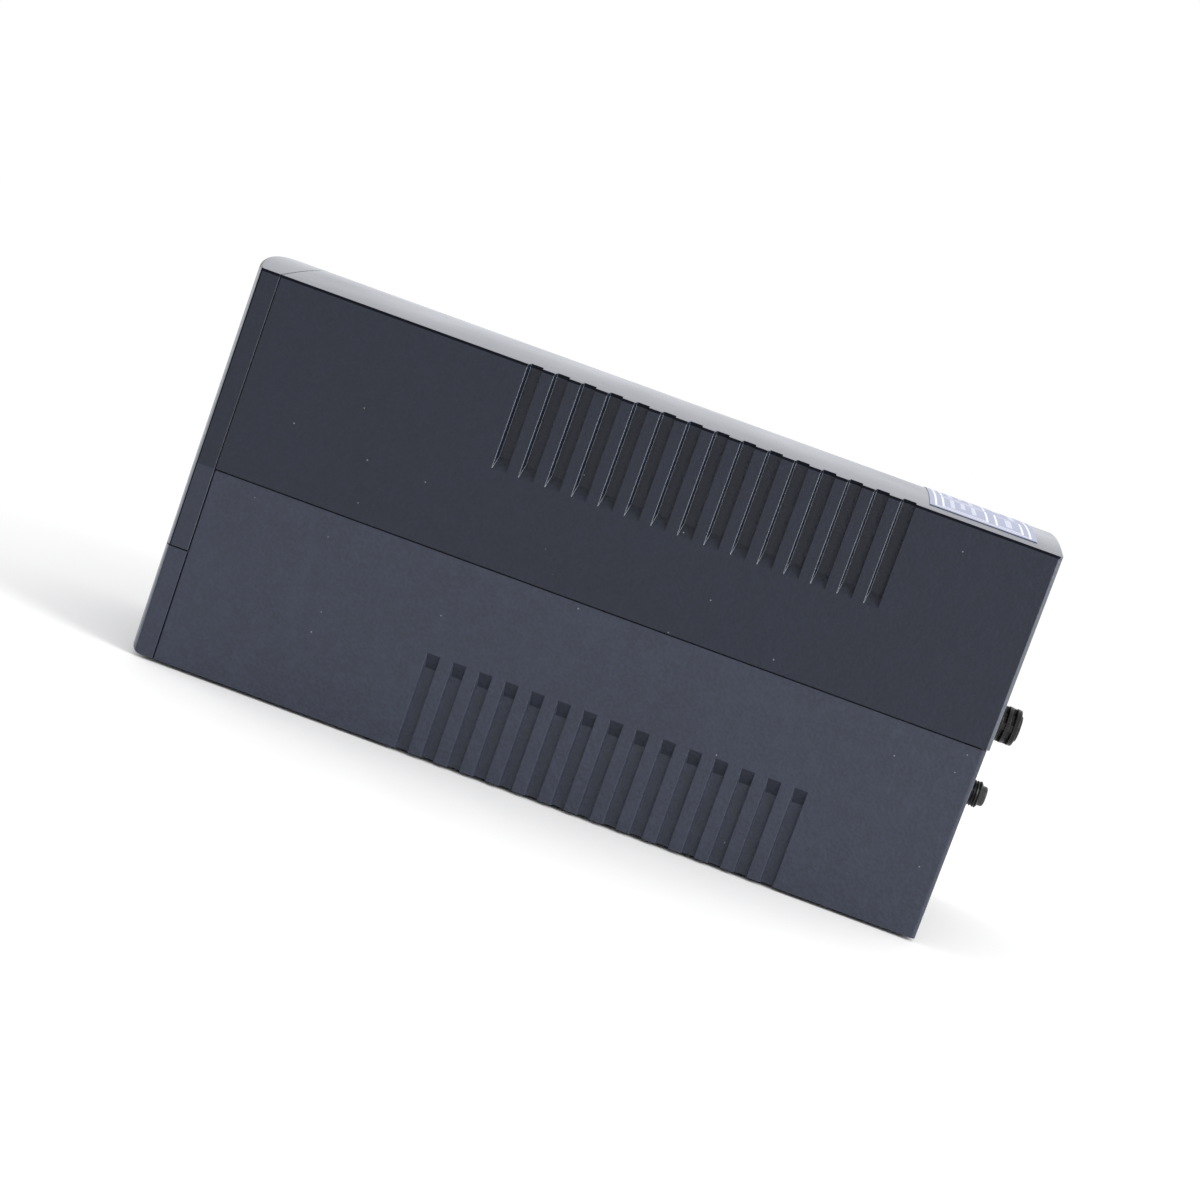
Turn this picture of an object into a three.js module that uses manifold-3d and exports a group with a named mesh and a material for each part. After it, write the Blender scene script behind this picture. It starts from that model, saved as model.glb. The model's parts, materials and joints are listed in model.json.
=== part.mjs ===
// Line-interactive uninterruptible power supply in a small tower case.
// Millimetres, +Z up, front towards -Y. The origin is under the middle of the bounding box, at floor level.
import * as THREE from 'three';
import { mergeVertices } from 'three/addons/utils/BufferGeometryUtils.js';
import Module from 'manifold-3d';

const wasm = await Module();
wasm.setup();

// ---- Driving dimensions: clearances ----
const SEAM = 0.4;              // visible gap between outer pieces
const FIT = 0.3;               // gap between a piece and what holds it
const BITE = 0.5;              // how far a rib or boss reaches into the wall it grows from
const TOUCH = 0.1;             // gap under a piece that rests on another
const PAST = 1;                // how far a cutting tool runs past a face

// ---- Driving dimensions: case ----
const CASE_LENGTH = 288;       // front edge of the side faces to the rear edge
const CASE_WIDTH = 95;         // across the crease at the split line, the widest place
const CASE_HEIGHT = 139.8;     // underside to the top edge of the side faces
const SPLIT_HEIGHT = 69.8;     // underside to the split line
const CROWN = 2.5;             // rise of the top face above its side edges
const SIDE_DRAFT = 1.2;        // lean of each side face between crease and edge
const WALL = 2.5;
const FRONT_BOW = 5;           // how far the front bulges past its side edges
const BAND_DEPTH = 7.8;        // depth of the bezel on the side faces
const SEAM_BOW = 3;            // how far the bezel seam arches back at the middle
const PANEL_SEAM_HEIGHT = 39.8; // underside to the seam between bezel and lower panel
const BEZEL_WALL = 2.2;
const FRONT_EDGE_R = 1.6;
const REAR_EDGE_R = 1.8;
const TOP_FRONT_R = 1.2;
const BOTTOM_FRONT_R = 3.5;
const LOWER_SIDE_INSET = 0.3;  // the upper shell's lip stands this far proud of the lower shell
const LOWER_REAR_INSET = 0.85;
const TONGUE = { thick: 1, high: 2.7, root: 3 };
const RIM_LIP = 1.2;           // lip and rib that hold the rear panel, measured inwards from the wall
const RIB_THICK = 1.8;

// ---- Driving dimensions: vent grooves ----
const GROOVE = { count: 15, pitch: 9.54, fromFront: 97.1, flare: 0.8 };
const UPPER_GROOVE = { width: 4.4, depth: 3, endAbove: 32.8, ramp: 4.4, skin: 1.6 };
const LOWER_GROOVE = { width: 4, depth: 2, endBelow: 34.5, ramp: 5.3, skin: 1.6 };
const FLOOR_VENT = { count: 10, pitch: 6, width: 3, length: 30 };

// ---- Driving dimensions: feet and case screws ----
const FOOT = { proud: 1.2, radius: 6, recess: 0.6, inX: 13, frontIn: 32, rearIn: 20 };
const POST = { radius: 4, fromSide: 8.5, frontIn: 17.5, rearIn: 41, low: 24 };
const POST_WEB = { half: 1, fromSide: 2, above: 2 };
const BOSS = { radius: 5, web: 3.7 };
const SCREW = { shank: 1.75, head: 3.2, headHigh: 2.4, bite: 9, short: 6, spare: 3 };
const DRIVER_SLOT = { half: 2, halfWide: 0.5, deep: 1.2 };
const PLATFORM = 4;            // half the side of a square pad under a raised screw
const COUNTERBORE = 0.4;       // room round a case screw's head
const TAB = { reach: 4.5, start: 5, high: 10, thick: 1.6 };

// ---- Driving dimensions: front controls ----
const PANEL = { width: 44, low: 60, high: 119, flange: 1.6, flangeEnd: 1.8 };
const BUTTON = { radius: 7, height: 104, flange: 1.2, lip: 1.2, stem: 2.4, gap: 0.3, dish: 0.2, edge: 0.5 };
const BUTTON_TRAVEL = 1.2;
const LENS = { count: 3, radius: 1.7, pitch: 8.5, highest: 86, deep: 5, dish: 0.1 };
const SWITCH_BOARD = { width: 36, low: 63, high: 114, thick: 1.6, back: 14.5 };
const SWITCH = { width: 8, deep: 5 };
const LED = { radius: 1.5 };

// ---- Driving dimensions: rear fittings ----
const PANEL_RECESS = 2.6;
const PANEL_THICK = 2.5;
const SOCKET = { x: -17, flange: 47, flangeThick: 2, bodyR: 21.2, recessR: 19.3, deep: 17.5, base: 4 };
const SOCKET_HEIGHTS = [44, 97];
const PIN = { offset: 9.5, radius: 2.7, chamber: 3.8, chamberDeep: 12, sleeveR: 3.4 };
const PIN_BLOCK = { half: 15, high: 12 };
const CLIP = { width: 6, thick: 0.8, inwards: 3.2, arm: 12 };
const COLUMN_X = 25;           // cord gland and circuit breaker stand one above the other
const GLAND = { height: 77.5, radius: 6.6, core: 4.7, bore: 3.7, proud: 9, neck: 5.6, tail: 7 };
const GLAND_FLANGE = { radius: 8, thick: 1.6 };
const GLAND_RINGS = [{ start: 3.3, end: 5.1 }, { start: 6, end: 7.8 }, { start: 8.8, end: 10.8 }];
const GLAND_WEB = { half: 1.2, short: 0.4 };
const BREAKER = { height: 51.2, neckR: 4.75, proud: 4.5, bodyX: 14, bodyZ: 30, bodyDeep: 26 };
const BREAKER_TAB = { half: 3, long: 8, thick: 0.8, apart: 9 };
const NUT = { acrossFlats: 14, thick: 2.2 };
const RESET = { radius: 3.6, proud: 2.1, deep: 9, edge: 0.5 };

// ---- Driving dimensions: what the case holds ----
const BATTERY = { width: 65, length: 151, height: 94, fromFront: 19, lift: 0.8 };
const BATTERY_RIB = { high: 10, thick: 2, endHalf: 20 };
const BEARER_X = 22;           // two low ridges carry the battery
const TERMINAL = { x: 24, inY: 9, width: 4.75, thick: 0.8, high: 6.35, foot: 2.5 };
const WELL = { half: 5, deep: 2 };   // hollow round each terminal
const STRAP = { width: 15, thick: 1.2, foot: 8, from: 62 };
const LEAD = { radius: 1.5, sleeveX: 7.4, sleeveY: 3.6, sleeveZ: 7.2 };
const CORE = { width: 78, height: 65, stack: 50, leg: 26, behind: 15, lift: 8 };
const COIL = { overhang: 11, clear: 0.6 };
const FRAME = { thick: 1.3, tab: 10, tabWidth: 12, tabX: 28 };
const BOARD = { above: 12.7, thick: 1.6, from: 60, length: 178, railHigh: 2, railReach: 3 };
const SINK = { x: 18, along: 62, length: 62, thick: 3, high: 22, fins: 4, finReach: 9, fin: 1.5, lowest: 3 };
const TRANSISTOR = { width: 10, thick: 4.5, high: 15, legs: 3.4, first: 10, pitch: 26 };
const LEG = { pitch: 2.54, half: 0.4, near: 2.2, far: 2.7 };
const RELAY = { left: -34, along: 140, pitch: 20, x: 19, y: 15.5, z: 15 };
const CAPACITOR = { x: -20, along: 84, radius: 6.5, high: 21 };
const BUZZER = { x: -18, along: 34, radius: 6, high: 9.5, hole: 1, holeFrom: 4 };
const LABEL = { width: 73, length: 38.5, fromRear: 9, thick: 0.2, gap: 0.08 };

// ---- Places that follow from them ----
const FRONT_Y = FRONT_BOW - (FRONT_BOW + CASE_LENGTH + GLAND.proud) / 2;
const REAR_Y = FRONT_Y + CASE_LENGTH;
const UNDERSIDE = FOOT.proud;
const FLOOR = UNDERSIDE + WALL;
const SPLIT = UNDERSIDE + SPLIT_HEIGHT;
const EDGE = UNDERSIDE + CASE_HEIGHT;
const CEILING = EDGE - WALL;
const APEX = EDGE + CROWN;
const HALF = CASE_WIDTH / 2;
const PANEL_OUT = REAR_Y - PANEL_RECESS;
const PANEL_IN = PANEL_OUT - PANEL_THICK;
const RIB_Y = PANEL_IN - FIT - RIB_THICK;
const CURVE_STEPS = 20;

// ---- Curves of the case ----
const frontY = (x) => FRONT_Y - FRONT_BOW * (1 - (x / HALF) ** 2);
const seamY = (x) => FRONT_Y + BAND_DEPTH + SEAM_BOW * (1 - (x / HALF) ** 2);
const crownZ = (x) => APEX - CROWN * (x / HALF) ** 2;

function leanAt(z) {
  const share = z > SPLIT ? (z - SPLIT) / (EDGE - SPLIT) : (SPLIT - z) / (SPLIT - UNDERSIDE);
  return SIDE_DRAFT * share;
}

const sideX = (z) => HALF - leanAt(z);

// ---- Turning geometries into solids and back ----
function solid(geometry) {
  const bare = geometry.index ? geometry : geometry.clone();
  bare.deleteAttribute('normal');
  bare.deleteAttribute('uv');
  const merged = mergeVertices(bare, 1e-4);
  const mesh = new wasm.Mesh({
    numProp: 3,
    vertProperties: new Float32Array(merged.attributes.position.array),
    triVerts: new Uint32Array(merged.index.array),
  });
  return new wasm.Manifold(mesh);
}

function geometryOf(body) {
  const mesh = body.getMesh();
  const geometry = new THREE.BufferGeometry();
  geometry.setAttribute('position', new THREE.BufferAttribute(new Float32Array(mesh.vertProperties), 3));
  geometry.setIndex(new THREE.BufferAttribute(new Uint32Array(mesh.triVerts), 1));
  return geometry;
}

const joined = (bodies) => bodies.reduce((sum, body) => sum.add(body));

function bend(geometry, move) {
  const position = geometry.attributes.position;
  const point = new THREE.Vector3();
  for (let i = 0; i < position.count; i += 1) {
    point.fromBufferAttribute(position, i);
    move(point);
    position.setXYZ(i, point.x, point.y, point.z);
  }
  return geometry;
}

// ---- Basic solids ----
function box(x0, x1, y0, y1, z0, z1) {
  const geometry = new THREE.BoxGeometry(x1 - x0, y1 - y0, z1 - z0);
  geometry.translate((x0 + x1) / 2, (y0 + y1) / 2, (z0 + z1) / 2);
  return solid(geometry);
}

function outlineGeometry(points, depth, steps = 1) {
  const shape = new THREE.Shape(points.map(([u, v]) => new THREE.Vector2(u, v)));
  return new THREE.ExtrudeGeometry(shape, { depth, steps, bevelEnabled: false });
}

// Points are (x, y), raised along Z.
function risen(points, z0, z1) {
  return solid(outlineGeometry(points, z1 - z0).translate(0, 0, z0));
}

// Points are (x, z), drawn along Y.
function alongY(points, y0, y1) {
  const geometry = outlineGeometry(points, y1 - y0);
  geometry.rotateX(Math.PI / 2);
  geometry.translate(0, y1, 0);
  return solid(geometry);
}

// Points are (y, z), drawn along X in steps so that the result can be bent.
function alongX(points, x0, x1, steps = 1) {
  const geometry = outlineGeometry(points, x1 - x0, steps);
  return bend(geometry, (p) => p.set(p.z + x0, p.x, p.y));
}

function rodZ(x, y, z0, z1, radius, sides = 24) {
  const geometry = new THREE.CylinderGeometry(radius, radius, z1 - z0, sides);
  geometry.rotateX(Math.PI / 2);
  geometry.translate(x, y, (z0 + z1) / 2);
  return solid(geometry);
}

function rodY(x, z, y0, y1, radius, sides = 24) {
  const geometry = new THREE.CylinderGeometry(radius, radius, y1 - y0, sides);
  geometry.translate(x, (y0 + y1) / 2, z);
  return solid(geometry);
}

// A turned piece on an axis along +Y: profile points are (radius, distance along Y).
function turnedY(x, y, z, profile, sides = 28) {
  const points = profile.map(([r, h]) => new THREE.Vector2(r, h));
  const geometry = new THREE.LatheGeometry(points, sides);
  geometry.translate(x, y, z);
  return solid(geometry);
}

function arc(cx, cy, radius, from, to, steps) {
  const points = [];
  for (let i = 0; i <= steps; i += 1) {
    const angle = THREE.MathUtils.degToRad(from + ((to - from) * i) / steps);
    points.push([cx + radius * Math.cos(angle), cy + radius * Math.sin(angle)]);
  }
  return points;
}

function curve(fromX, toX, height, steps = CURVE_STEPS) {
  const points = [];
  for (let i = 0; i <= steps; i += 1) {
    const x = fromX + ((toX - fromX) * i) / steps;
    points.push([x, height(x)]);
  }
  return points;
}

// A block whose front and rear follow curves in plan.
function curvedBlock(frontCurve, rearCurve, z0, z1, half = HALF + PAST, steps = CURVE_STEPS) {
  return risen([...curve(-half, half, frontCurve, steps), ...curve(half, -half, rearCurve, steps)], z0, z1);
}

// ---- The case's outer form and the sections inside it ----
function planOutline(half, rear) {
  const f = FRONT_EDGE_R;
  const r = REAR_EDGE_R;
  const edgeX = half - f;
  return [
    ...arc(edgeX, FRONT_Y + f, f, 0, -72, 5).reverse(),
    ...arc(half - r, rear - r, r, 0, 90, 6),
    ...arc(r - half, rear - r, r, 90, 180, 6),
    ...arc(-edgeX, FRONT_Y + f, f, 180, 252, 5),
    ...curve(-edgeX + f, edgeX - f, frontY, CURVE_STEPS),
  ];
}

// The plan outline drawn from below the case to above it, leaning in above and below the crease.
function leaningColumn(sideInset, rearInset) {
  const geometry = outlineGeometry(planOutline(HALF, REAR_Y - rearInset), 2, 2);
  const low = UNDERSIDE - PAST;
  const high = APEX + PAST;
  return solid(bend(geometry, (p) => {
    const z = p.z > 1.5 ? high : p.z > 0.5 ? SPLIT : low;
    p.set((p.x * (sideX(z) - sideInset)) / HALF, p.y, z);
  }));
}

// The side outline with its rounded front corners, swept across the width along the bow and the crown.
function bowedSweep() {
  const t = TOP_FRONT_R;
  const b = BOTTOM_FRONT_R;
  const outline = [
    ...arc(FRONT_Y + b, UNDERSIDE + b, b, 180, 270, 6),
    [REAR_Y + PAST, UNDERSIDE],
    [REAR_Y + PAST, APEX],
    ...arc(FRONT_Y + t, APEX - t, t, 90, 180, 6),
  ];
  const geometry = alongX(outline, -HALF - PAST, HALF + PAST, CURVE_STEPS);
  return solid(bend(geometry, (p) => {
    const y = p.y < 0 ? p.y + frontY(p.x) - FRONT_Y : p.y;
    const z = p.z > SPLIT ? p.z + crownZ(p.x) - APEX : p.z;
    p.set(p.x, y, z);
  }));
}

const caseForm = (sideInset, rearInset) => leaningColumn(sideInset, rearInset).intersect(bowedSweep());

// The case's cross-section, shrunk by an inset, as (x, z) points.
function section(inset) {
  const low = sideX(UNDERSIDE) - inset;
  const wide = HALF - inset;
  const high = sideX(EDGE) - inset;
  return [
    [-low, UNDERSIDE + inset],
    [low, UNDERSIDE + inset],
    [wide, SPLIT],
    ...curve(high, -high, (x) => crownZ(x) - inset, 12),
    [-wide, SPLIT],
  ];
}

const bore = (inset, y0, y1) => alongY(section(inset), y0, y1);

// A ring that lines the inside of the walls.
function liner(outerInset, innerInset, y0, y1) {
  return bore(outerInset, y0, y1).subtract(bore(innerInset, y0 - PAST, y1 + PAST));
}

// ---- Vent grooves ----
// One groove in the +X side face. zDeep is where the floor reaches full depth, zEnd where its ramp runs out.
function grooveTool(y, groove, inset, zOpen, zDeep, zEnd) {
  const out = HALF + PAST;
  const floorX = (z) => sideX(z) - inset - groove.depth;
  const outline = [
    [out, zOpen],
    [floorX(zOpen), zOpen],
    [floorX(zDeep), zDeep],
    [sideX(zEnd) - inset, zEnd],
    [out, zEnd],
  ];
  const ordered = zOpen > zEnd ? outline : outline.reverse();
  const shape = outlineGeometry(ordered, groove.width).rotateX(Math.PI / 2).translate(0, y + groove.width, 0);
  return solid(bend(shape, (p) => {
    const rise = (p.x - floorX(p.z)) / groove.depth;
    const front = p.y < y + groove.width / 2;
    p.setY(front ? p.y - GROOVE.flare * rise : p.y);
  }));
}

function row(count, make) {
  return joined(Array.from({ length: count }, (_, i) => make(i)));
}

const grooveY = (i) => FRONT_Y + GROOVE.fromFront + GROOVE.flare + GROOVE.pitch * i;
const groovesEnd = grooveY(GROOVE.count - 1) + UPPER_GROOVE.width;
const bothSides = (body) => body.add(body.mirror([1, 0, 0]));

function upperGrooves() {
  const end = SPLIT + UPPER_GROOVE.endAbove;
  const deep = end + UPPER_GROOVE.ramp;
  const open = APEX + PAST;
  return bothSides(row(GROOVE.count, (i) => grooveTool(grooveY(i), UPPER_GROOVE, 0, open, deep, end)));
}

function lowerGrooves() {
  const end = SPLIT - LOWER_GROOVE.endBelow;
  const deep = end - LOWER_GROOVE.ramp;
  const open = UNDERSIDE - PAST;
  return bothSides(row(GROOVE.count, (i) => (
    grooveTool(grooveY(i), LOWER_GROOVE, LOWER_SIDE_INSET, open, deep, end))));
}

// The wall is thicker behind the grooves.
function groovePads(groove, inset, z0, z1) {
  const inner = inset + groove.depth + groove.skin;
  const y0 = grooveY(0) - 4;
  const y1 = groovesEnd + 4;
  const side = box(sideX(EDGE) - inner - BITE, HALF, y0, y1, z0, z1);
  return bothSides(liner(WALL + inset - BITE, inner, y0, y1).intersect(side));
}

// ---- Screw posts ----
const POST_X = HALF - POST.fromSide;
const POST_PLACES = [
  { name: 'front_left', x: -POST_X, y: FRONT_Y + POST.frontIn },
  { name: 'front_right', x: POST_X, y: FRONT_Y + POST.frontIn },
  { name: 'rear_left', x: -POST_X, y: REAR_Y - POST.rearIn },
  { name: 'rear_right', x: POST_X, y: REAR_Y - POST.rearIn },
];
const SEAT = POST.low - FIT - BOSS.web;   // where a screw's head bears

function screwPost(place) {
  const side = Math.sign(place.x);
  const webOut = side * (HALF - POST_WEB.fromSide);
  const column = rodZ(place.x, place.y, POST.low, CEILING + BITE, POST.radius, 20);
  const webLow = SPLIT + TONGUE.high + POST_WEB.above;
  const left = Math.min(place.x, webOut);
  const right = Math.max(place.x, webOut);
  const web = box(left, right, place.y - POST_WEB.half, place.y + POST_WEB.half, webLow, CEILING);
  const holeTop = POST.low + SCREW.bite + SCREW.spare;
  const hole = rodZ(place.x, place.y, POST.low - PAST, holeTop, SCREW.shank + FIT, 16);
  return column.add(web).subtract(hole);
}

// ---- The two shells ----
function boardRails() {
  const low = BOARD_LOW - FIT - BOARD.railHigh;
  const high = BOARD_LOW + BOARD.thick + FIT;
  const y0 = FRONT_Y + BOARD.from;
  const y1 = y0 + BOARD.length;
  const reach = PAD_IN + BOARD.railReach;
  const one = (z) => liner(WALL - BITE, reach, y0, y1).intersect(
    box(0, HALF, y0, y1, z, z + BOARD.railHigh));
  const stop = liner(WALL - BITE, reach, y0 - 2, y0).intersect(
    box(0, HALF, y0 - 2, y0, low, high + BOARD.railHigh));
  return bothSides(joined([one(low), one(high), stop]));
}

function upperShell() {
  const z0 = SPLIT + SEAM / 2;
  const region = curvedBlock((x) => seamY(x) + SEAM / 2, () => REAR_Y + PAST, z0, APEX + PAST);
  const walls = caseForm(0, 0).intersect(region);
  const hollow = bore(WALL, FRONT_Y - 9, REAR_Y + PAST);
  const rebateIn = WALL - TONGUE.thick - FIT;
  const rebate = liner(rebateIn, WALL + PAST, FRONT_Y, RIB_Y - 2 + FIT).intersect(
    box(-HALF, HALF, FRONT_Y, REAR_Y, SPLIT - PAST, SPLIT + TONGUE.high + FIT));
  const above = box(-HALF, HALF, FRONT_Y, REAR_Y, z0, APEX);
  const rims = rearRims().intersect(above);
  const pads = groovePads(UPPER_GROOVE, 0, SPLIT + UPPER_GROOVE.endAbove - 2, APEX);
  const posts = joined(POST_PLACES.map(screwPost));
  return walls.subtract(hollow).subtract(rebate).add(rims).add(pads).add(boardRails()).add(posts)
    .subtract(upperGrooves());
}

function rearRims() {
  const lip = liner(WALL - BITE, WALL + RIM_LIP, PANEL_OUT + FIT, REAR_Y - LOWER_REAR_INSET);
  const rib = liner(WALL - BITE, WALL + RIM_LIP, RIB_Y, PANEL_IN - FIT);
  return lip.add(rib);
}

function tongue() {
  const outer = WALL - TONGUE.thick;
  const y0 = FRONT_Y + BAND_DEPTH + SEAM_BOW + 1;
  const y1 = RIB_Y - 2;
  const slice = box(-HALF, HALF, y0, y1, SPLIT - TONGUE.root, SPLIT + TONGUE.high);
  return liner(outer, WALL + LOWER_SIDE_INSET, y0, y1).intersect(slice);
}

function batteryRibs() {
  const high = FLOOR + BATTERY_RIB.high;
  const halfX = BATTERY.width / 2 + FIT;
  const rib = BATTERY_RIB.thick;
  const sides = [0.2, 0.75].map((share) => {
    const y = BATTERY_FRONT + BATTERY.length * share;
    return bothSides(box(halfX, sideX(FLOOR) - WALL, y, y + rib, FLOOR - BITE, high));
  });
  const ends = [BATTERY_FRONT - FIT - rib, BATTERY_FRONT + BATTERY.length + FIT].map((y) => (
    box(-BATTERY_RIB.endHalf, BATTERY_RIB.endHalf, y, y + rib, FLOOR - BITE, high)));
  const bearerTop = FLOOR + BATTERY.lift - TOUCH;
  const bearers = [-1, 1].map((side) => {
    const x = side * BEARER_X;
    return box(x - 1, x + 1, BATTERY_FRONT, BATTERY_FRONT + BATTERY.length, FLOOR - BITE, bearerTop);
  });
  return joined([...sides, ...ends, ...bearers]);
}

function transformerBearers() {
  const top = FRAME_LOW - FIT;
  return bothSides(box(CORE.width / 2 - 6, CORE.width / 2 - 4, CORE_FRONT, CORE_BACK, FLOOR - BITE, top));
}

function lowerShell() {
  const z1 = SPLIT - SEAM / 2;
  const region = curvedBlock((x) => seamY(x) + SEAM / 2, () => REAR_Y + PAST, UNDERSIDE - PAST, z1);
  const walls = caseForm(LOWER_SIDE_INSET, LOWER_REAR_INSET).intersect(region);
  const hollow = bore(WALL + LOWER_SIDE_INSET, FRONT_Y - 9, REAR_Y + PAST);
  const below = box(-HALF, HALF, FRONT_Y, REAR_Y, UNDERSIDE, z1);
  const pads = groovePads(LOWER_GROOVE, LOWER_SIDE_INSET, UNDERSIDE + 1, SPLIT - LOWER_GROOVE.endBelow + 2);
  const bosses = POST_PLACES.map((p) => rodZ(p.x, p.y, UNDERSIDE + 1, POST.low - FIT, BOSS.radius, 20));
  const holes = POST_PLACES.map((p) => (
    rodZ(p.x, p.y, UNDERSIDE - PAST, SEAT, SCREW.head + COUNTERBORE, 24).add(
      rodZ(p.x, p.y, SEAT - PAST, POST.low + PAST, SCREW.shank + FIT, 16))));
  const recesses = FOOT_PLACES.map((p) => (
    rodZ(p.x, p.y, UNDERSIDE - PAST, UNDERSIDE + FOOT.recess, FOOT.radius + FIT, 24)));
  const platform = (p) => (
    box(p.x - PLATFORM, p.x + PLATFORM, p.y - PLATFORM, p.y + PLATFORM, FLOOR - BITE, p.top));
  const raised = [...STRAP_SCREWS, ...FRAME_SCREWS];
  const pilots = raised.map((p) => (
    rodZ(p.x, p.y, p.top - SCREW.short + PAST, p.top + PAST, SCREW.shank + FIT, 16)));
  return walls.subtract(hollow).add(rearRims().intersect(below)).add(tongue()).add(pads)
    .add(batteryRibs()).add(transformerBearers()).add(joined(bosses)).add(joined(raised.map(platform)))
    .subtract(joined([...holes, ...recesses, ...pilots])).subtract(lowerGrooves()).subtract(floorVents());
}

function floorVents() {
  const y0 = CORE_FRONT - COIL.overhang;
  const pitch = FLOOR_VENT.pitch;
  const x0 = -((FLOOR_VENT.count - 1) * pitch) / 2;
  return row(FLOOR_VENT.count, (i) => {
    const x = x0 + pitch * i - FLOOR_VENT.width / 2;
    const length = FLOOR_VENT.length;
    const y = y0 + 14;
    return box(x, x + FLOOR_VENT.width, y, y + length, UNDERSIDE - PAST, FLOOR + PAST);
  });
}

// ---- Front pieces ----
function frontShell(z0, z1) {
  const region = curvedBlock((x) => frontY(x) - PAST, (x) => seamY(x) - SEAM / 2, z0, z1);
  const inside = curvedBlock((x) => frontY(x) + BEZEL_WALL, () => REAR_Y, UNDERSIDE, APEX);
  return caseForm(0, 0).intersect(region).subtract(bore(BEZEL_WALL, FRONT_Y - 9, REAR_Y).intersect(inside));
}

// A tab that reaches from the front piece back into the shells, against a side wall.
function sideTab(z0) {
  const reach = (x) => seamY(x) + TAB.reach;
  const start = (x) => seamY(x) - TAB.start;
  const room = WALL + LOWER_SIDE_INSET + FIT;
  const end = FRONT_Y + 2 * BAND_DEPTH + SEAM_BOW;
  const strip = liner(BEZEL_WALL - BITE, room + TAB.thick, FRONT_Y - FRONT_BOW, end);
  const back = liner(0, room, FRONT_Y, end).intersect(
    curvedBlock((x) => seamY(x) - SEAM / 2, () => end, UNDERSIDE, APEX));
  const side = box(HALF - 12, HALF, FRONT_Y, end, z0, z0 + TAB.high);
  const slice = curvedBlock(start, reach, z0, z0 + TAB.high).intersect(side);
  return bothSides(strip.intersect(slice).subtract(back));
}

function controlWindow(grow, front, back) {
  const half = PANEL.width / 2 + grow;
  return curvedBlock(front, back, UNDERSIDE + PANEL.low - grow, UNDERSIDE + PANEL.high + grow, half, 7);
}

function frontBezel() {
  const shell = frontShell(UNDERSIDE + PANEL_SEAM_HEIGHT + SEAM / 2, APEX + PAST);
  const window = controlWindow(0, (x) => frontY(x) - PAST, () => FRONT_Y + 5);
  return shell.subtract(window).add(sideTab(SPLIT - 20)).add(sideTab(EDGE - 24));
}

function lowerFrontPanel() {
  return frontShell(UNDERSIDE - PAST, UNDERSIDE + PANEL_SEAM_HEIGHT - SEAM / 2).add(sideTab(POST.low + 4));
}

const LENS_Z = Array.from({ length: LENS.count }, (_, i) => UNDERSIDE + LENS.highest - LENS.pitch * i);
const BUTTON_Z = UNDERSIDE + BUTTON.height;

function controlPanel() {
  const plate = controlWindow(-FIT, frontY, (x) => frontY(x) + BEZEL_WALL + FIT);
  const flangeFront = (x) => frontY(x) + BEZEL_WALL + FIT;
  const flangeBack = (x) => frontY(x) + BEZEL_WALL + PANEL.flangeEnd;
  const flange = controlWindow(PANEL.flange, flangeFront, flangeBack);
  const buttonHole = rodY(0, BUTTON_Z, FRONT_Y - 9, FRONT_Y + 9, BUTTON.radius + BUTTON.gap, 32);
  const lensHoles = LENS_Z.map((z) => rodY(0, z, FRONT_Y - 9, FRONT_Y + 9, LENS.radius + FIT / 2, 16));
  return plate.add(flange).subtract(joined([buttonHole, ...lensHoles]));
}

const PANEL_BACK = frontY(0) + BEZEL_WALL + PANEL.flangeEnd;
const SWITCH_BOARD_Y = FRONT_Y - FRONT_BOW + SWITCH_BOARD.back;
const SWITCH_Y = SWITCH_BOARD_Y - SWITCH.deep;

function powerButton() {
  const face = frontY(0) + BUTTON.dish;
  const flangeY = PANEL_BACK + FIT;
  const stemEnd = SWITCH_Y - FIT - BUTTON_TRAVEL;
  const profile = [
    [0, 0],
    [BUTTON.radius - BUTTON.edge, 0],
    [BUTTON.radius, BUTTON.edge],
    [BUTTON.radius, flangeY - face],
    [BUTTON.radius + BUTTON.lip, flangeY - face],
    [BUTTON.radius + BUTTON.lip, flangeY - face + BUTTON.flange],
    [BUTTON.stem, flangeY - face + BUTTON.flange],
    [BUTTON.stem, stemEnd - face],
    [0, stemEnd - face],
  ];
  return turnedY(0, face, BUTTON_Z, profile, 32);
}

function lens(z) {
  const face = frontY(0) + LENS.dish;
  return rodY(0, z, face, face + LENS.deep, LENS.radius, 16);
}

function led(z) {
  const start = frontY(0) + LENS.dish + LENS.deep + FIT;
  return rodY(0, z, start, SWITCH_BOARD_Y - FIT, LED.radius, 14);
}

function switchBoard() {
  const half = SWITCH_BOARD.width / 2;
  const y = SWITCH_BOARD_Y;
  const low = UNDERSIDE + SWITCH_BOARD.low;
  const high = UNDERSIDE + SWITCH_BOARD.high;
  return box(-half, half, y, y + SWITCH_BOARD.thick, low, high);
}

function buttonSwitch() {
  const half = SWITCH.width / 2;
  return box(-half, half, SWITCH_Y, SWITCH_BOARD_Y - FIT, BUTTON_Z - half, BUTTON_Z + half);
}

// ---- Rear panel and what it carries ----
const SOCKET_Z = SOCKET_HEIGHTS.map((height) => UNDERSIDE + height);
const GLAND_Z = UNDERSIDE + GLAND.height;
const BREAKER_Z = UNDERSIDE + BREAKER.height;

function rearPanel() {
  const y0 = PANEL_IN - PAST;
  const y1 = PANEL_OUT + PAST;
  const plate = bore(WALL + LOWER_SIDE_INSET + FIT, PANEL_IN, PANEL_OUT);
  const cuts = [
    ...SOCKET_Z.map((z) => rodY(SOCKET.x, z, y0, y1, SOCKET.bodyR + FIT, 36)),
    rodY(COLUMN_X, GLAND_Z, y0, y1, GLAND.neck + FIT, 24),
    rodY(COLUMN_X, BREAKER_Z, y0, y1, BREAKER.neckR + FIT, 24),
  ];
  return plate.subtract(joined(cuts));
}

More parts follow.
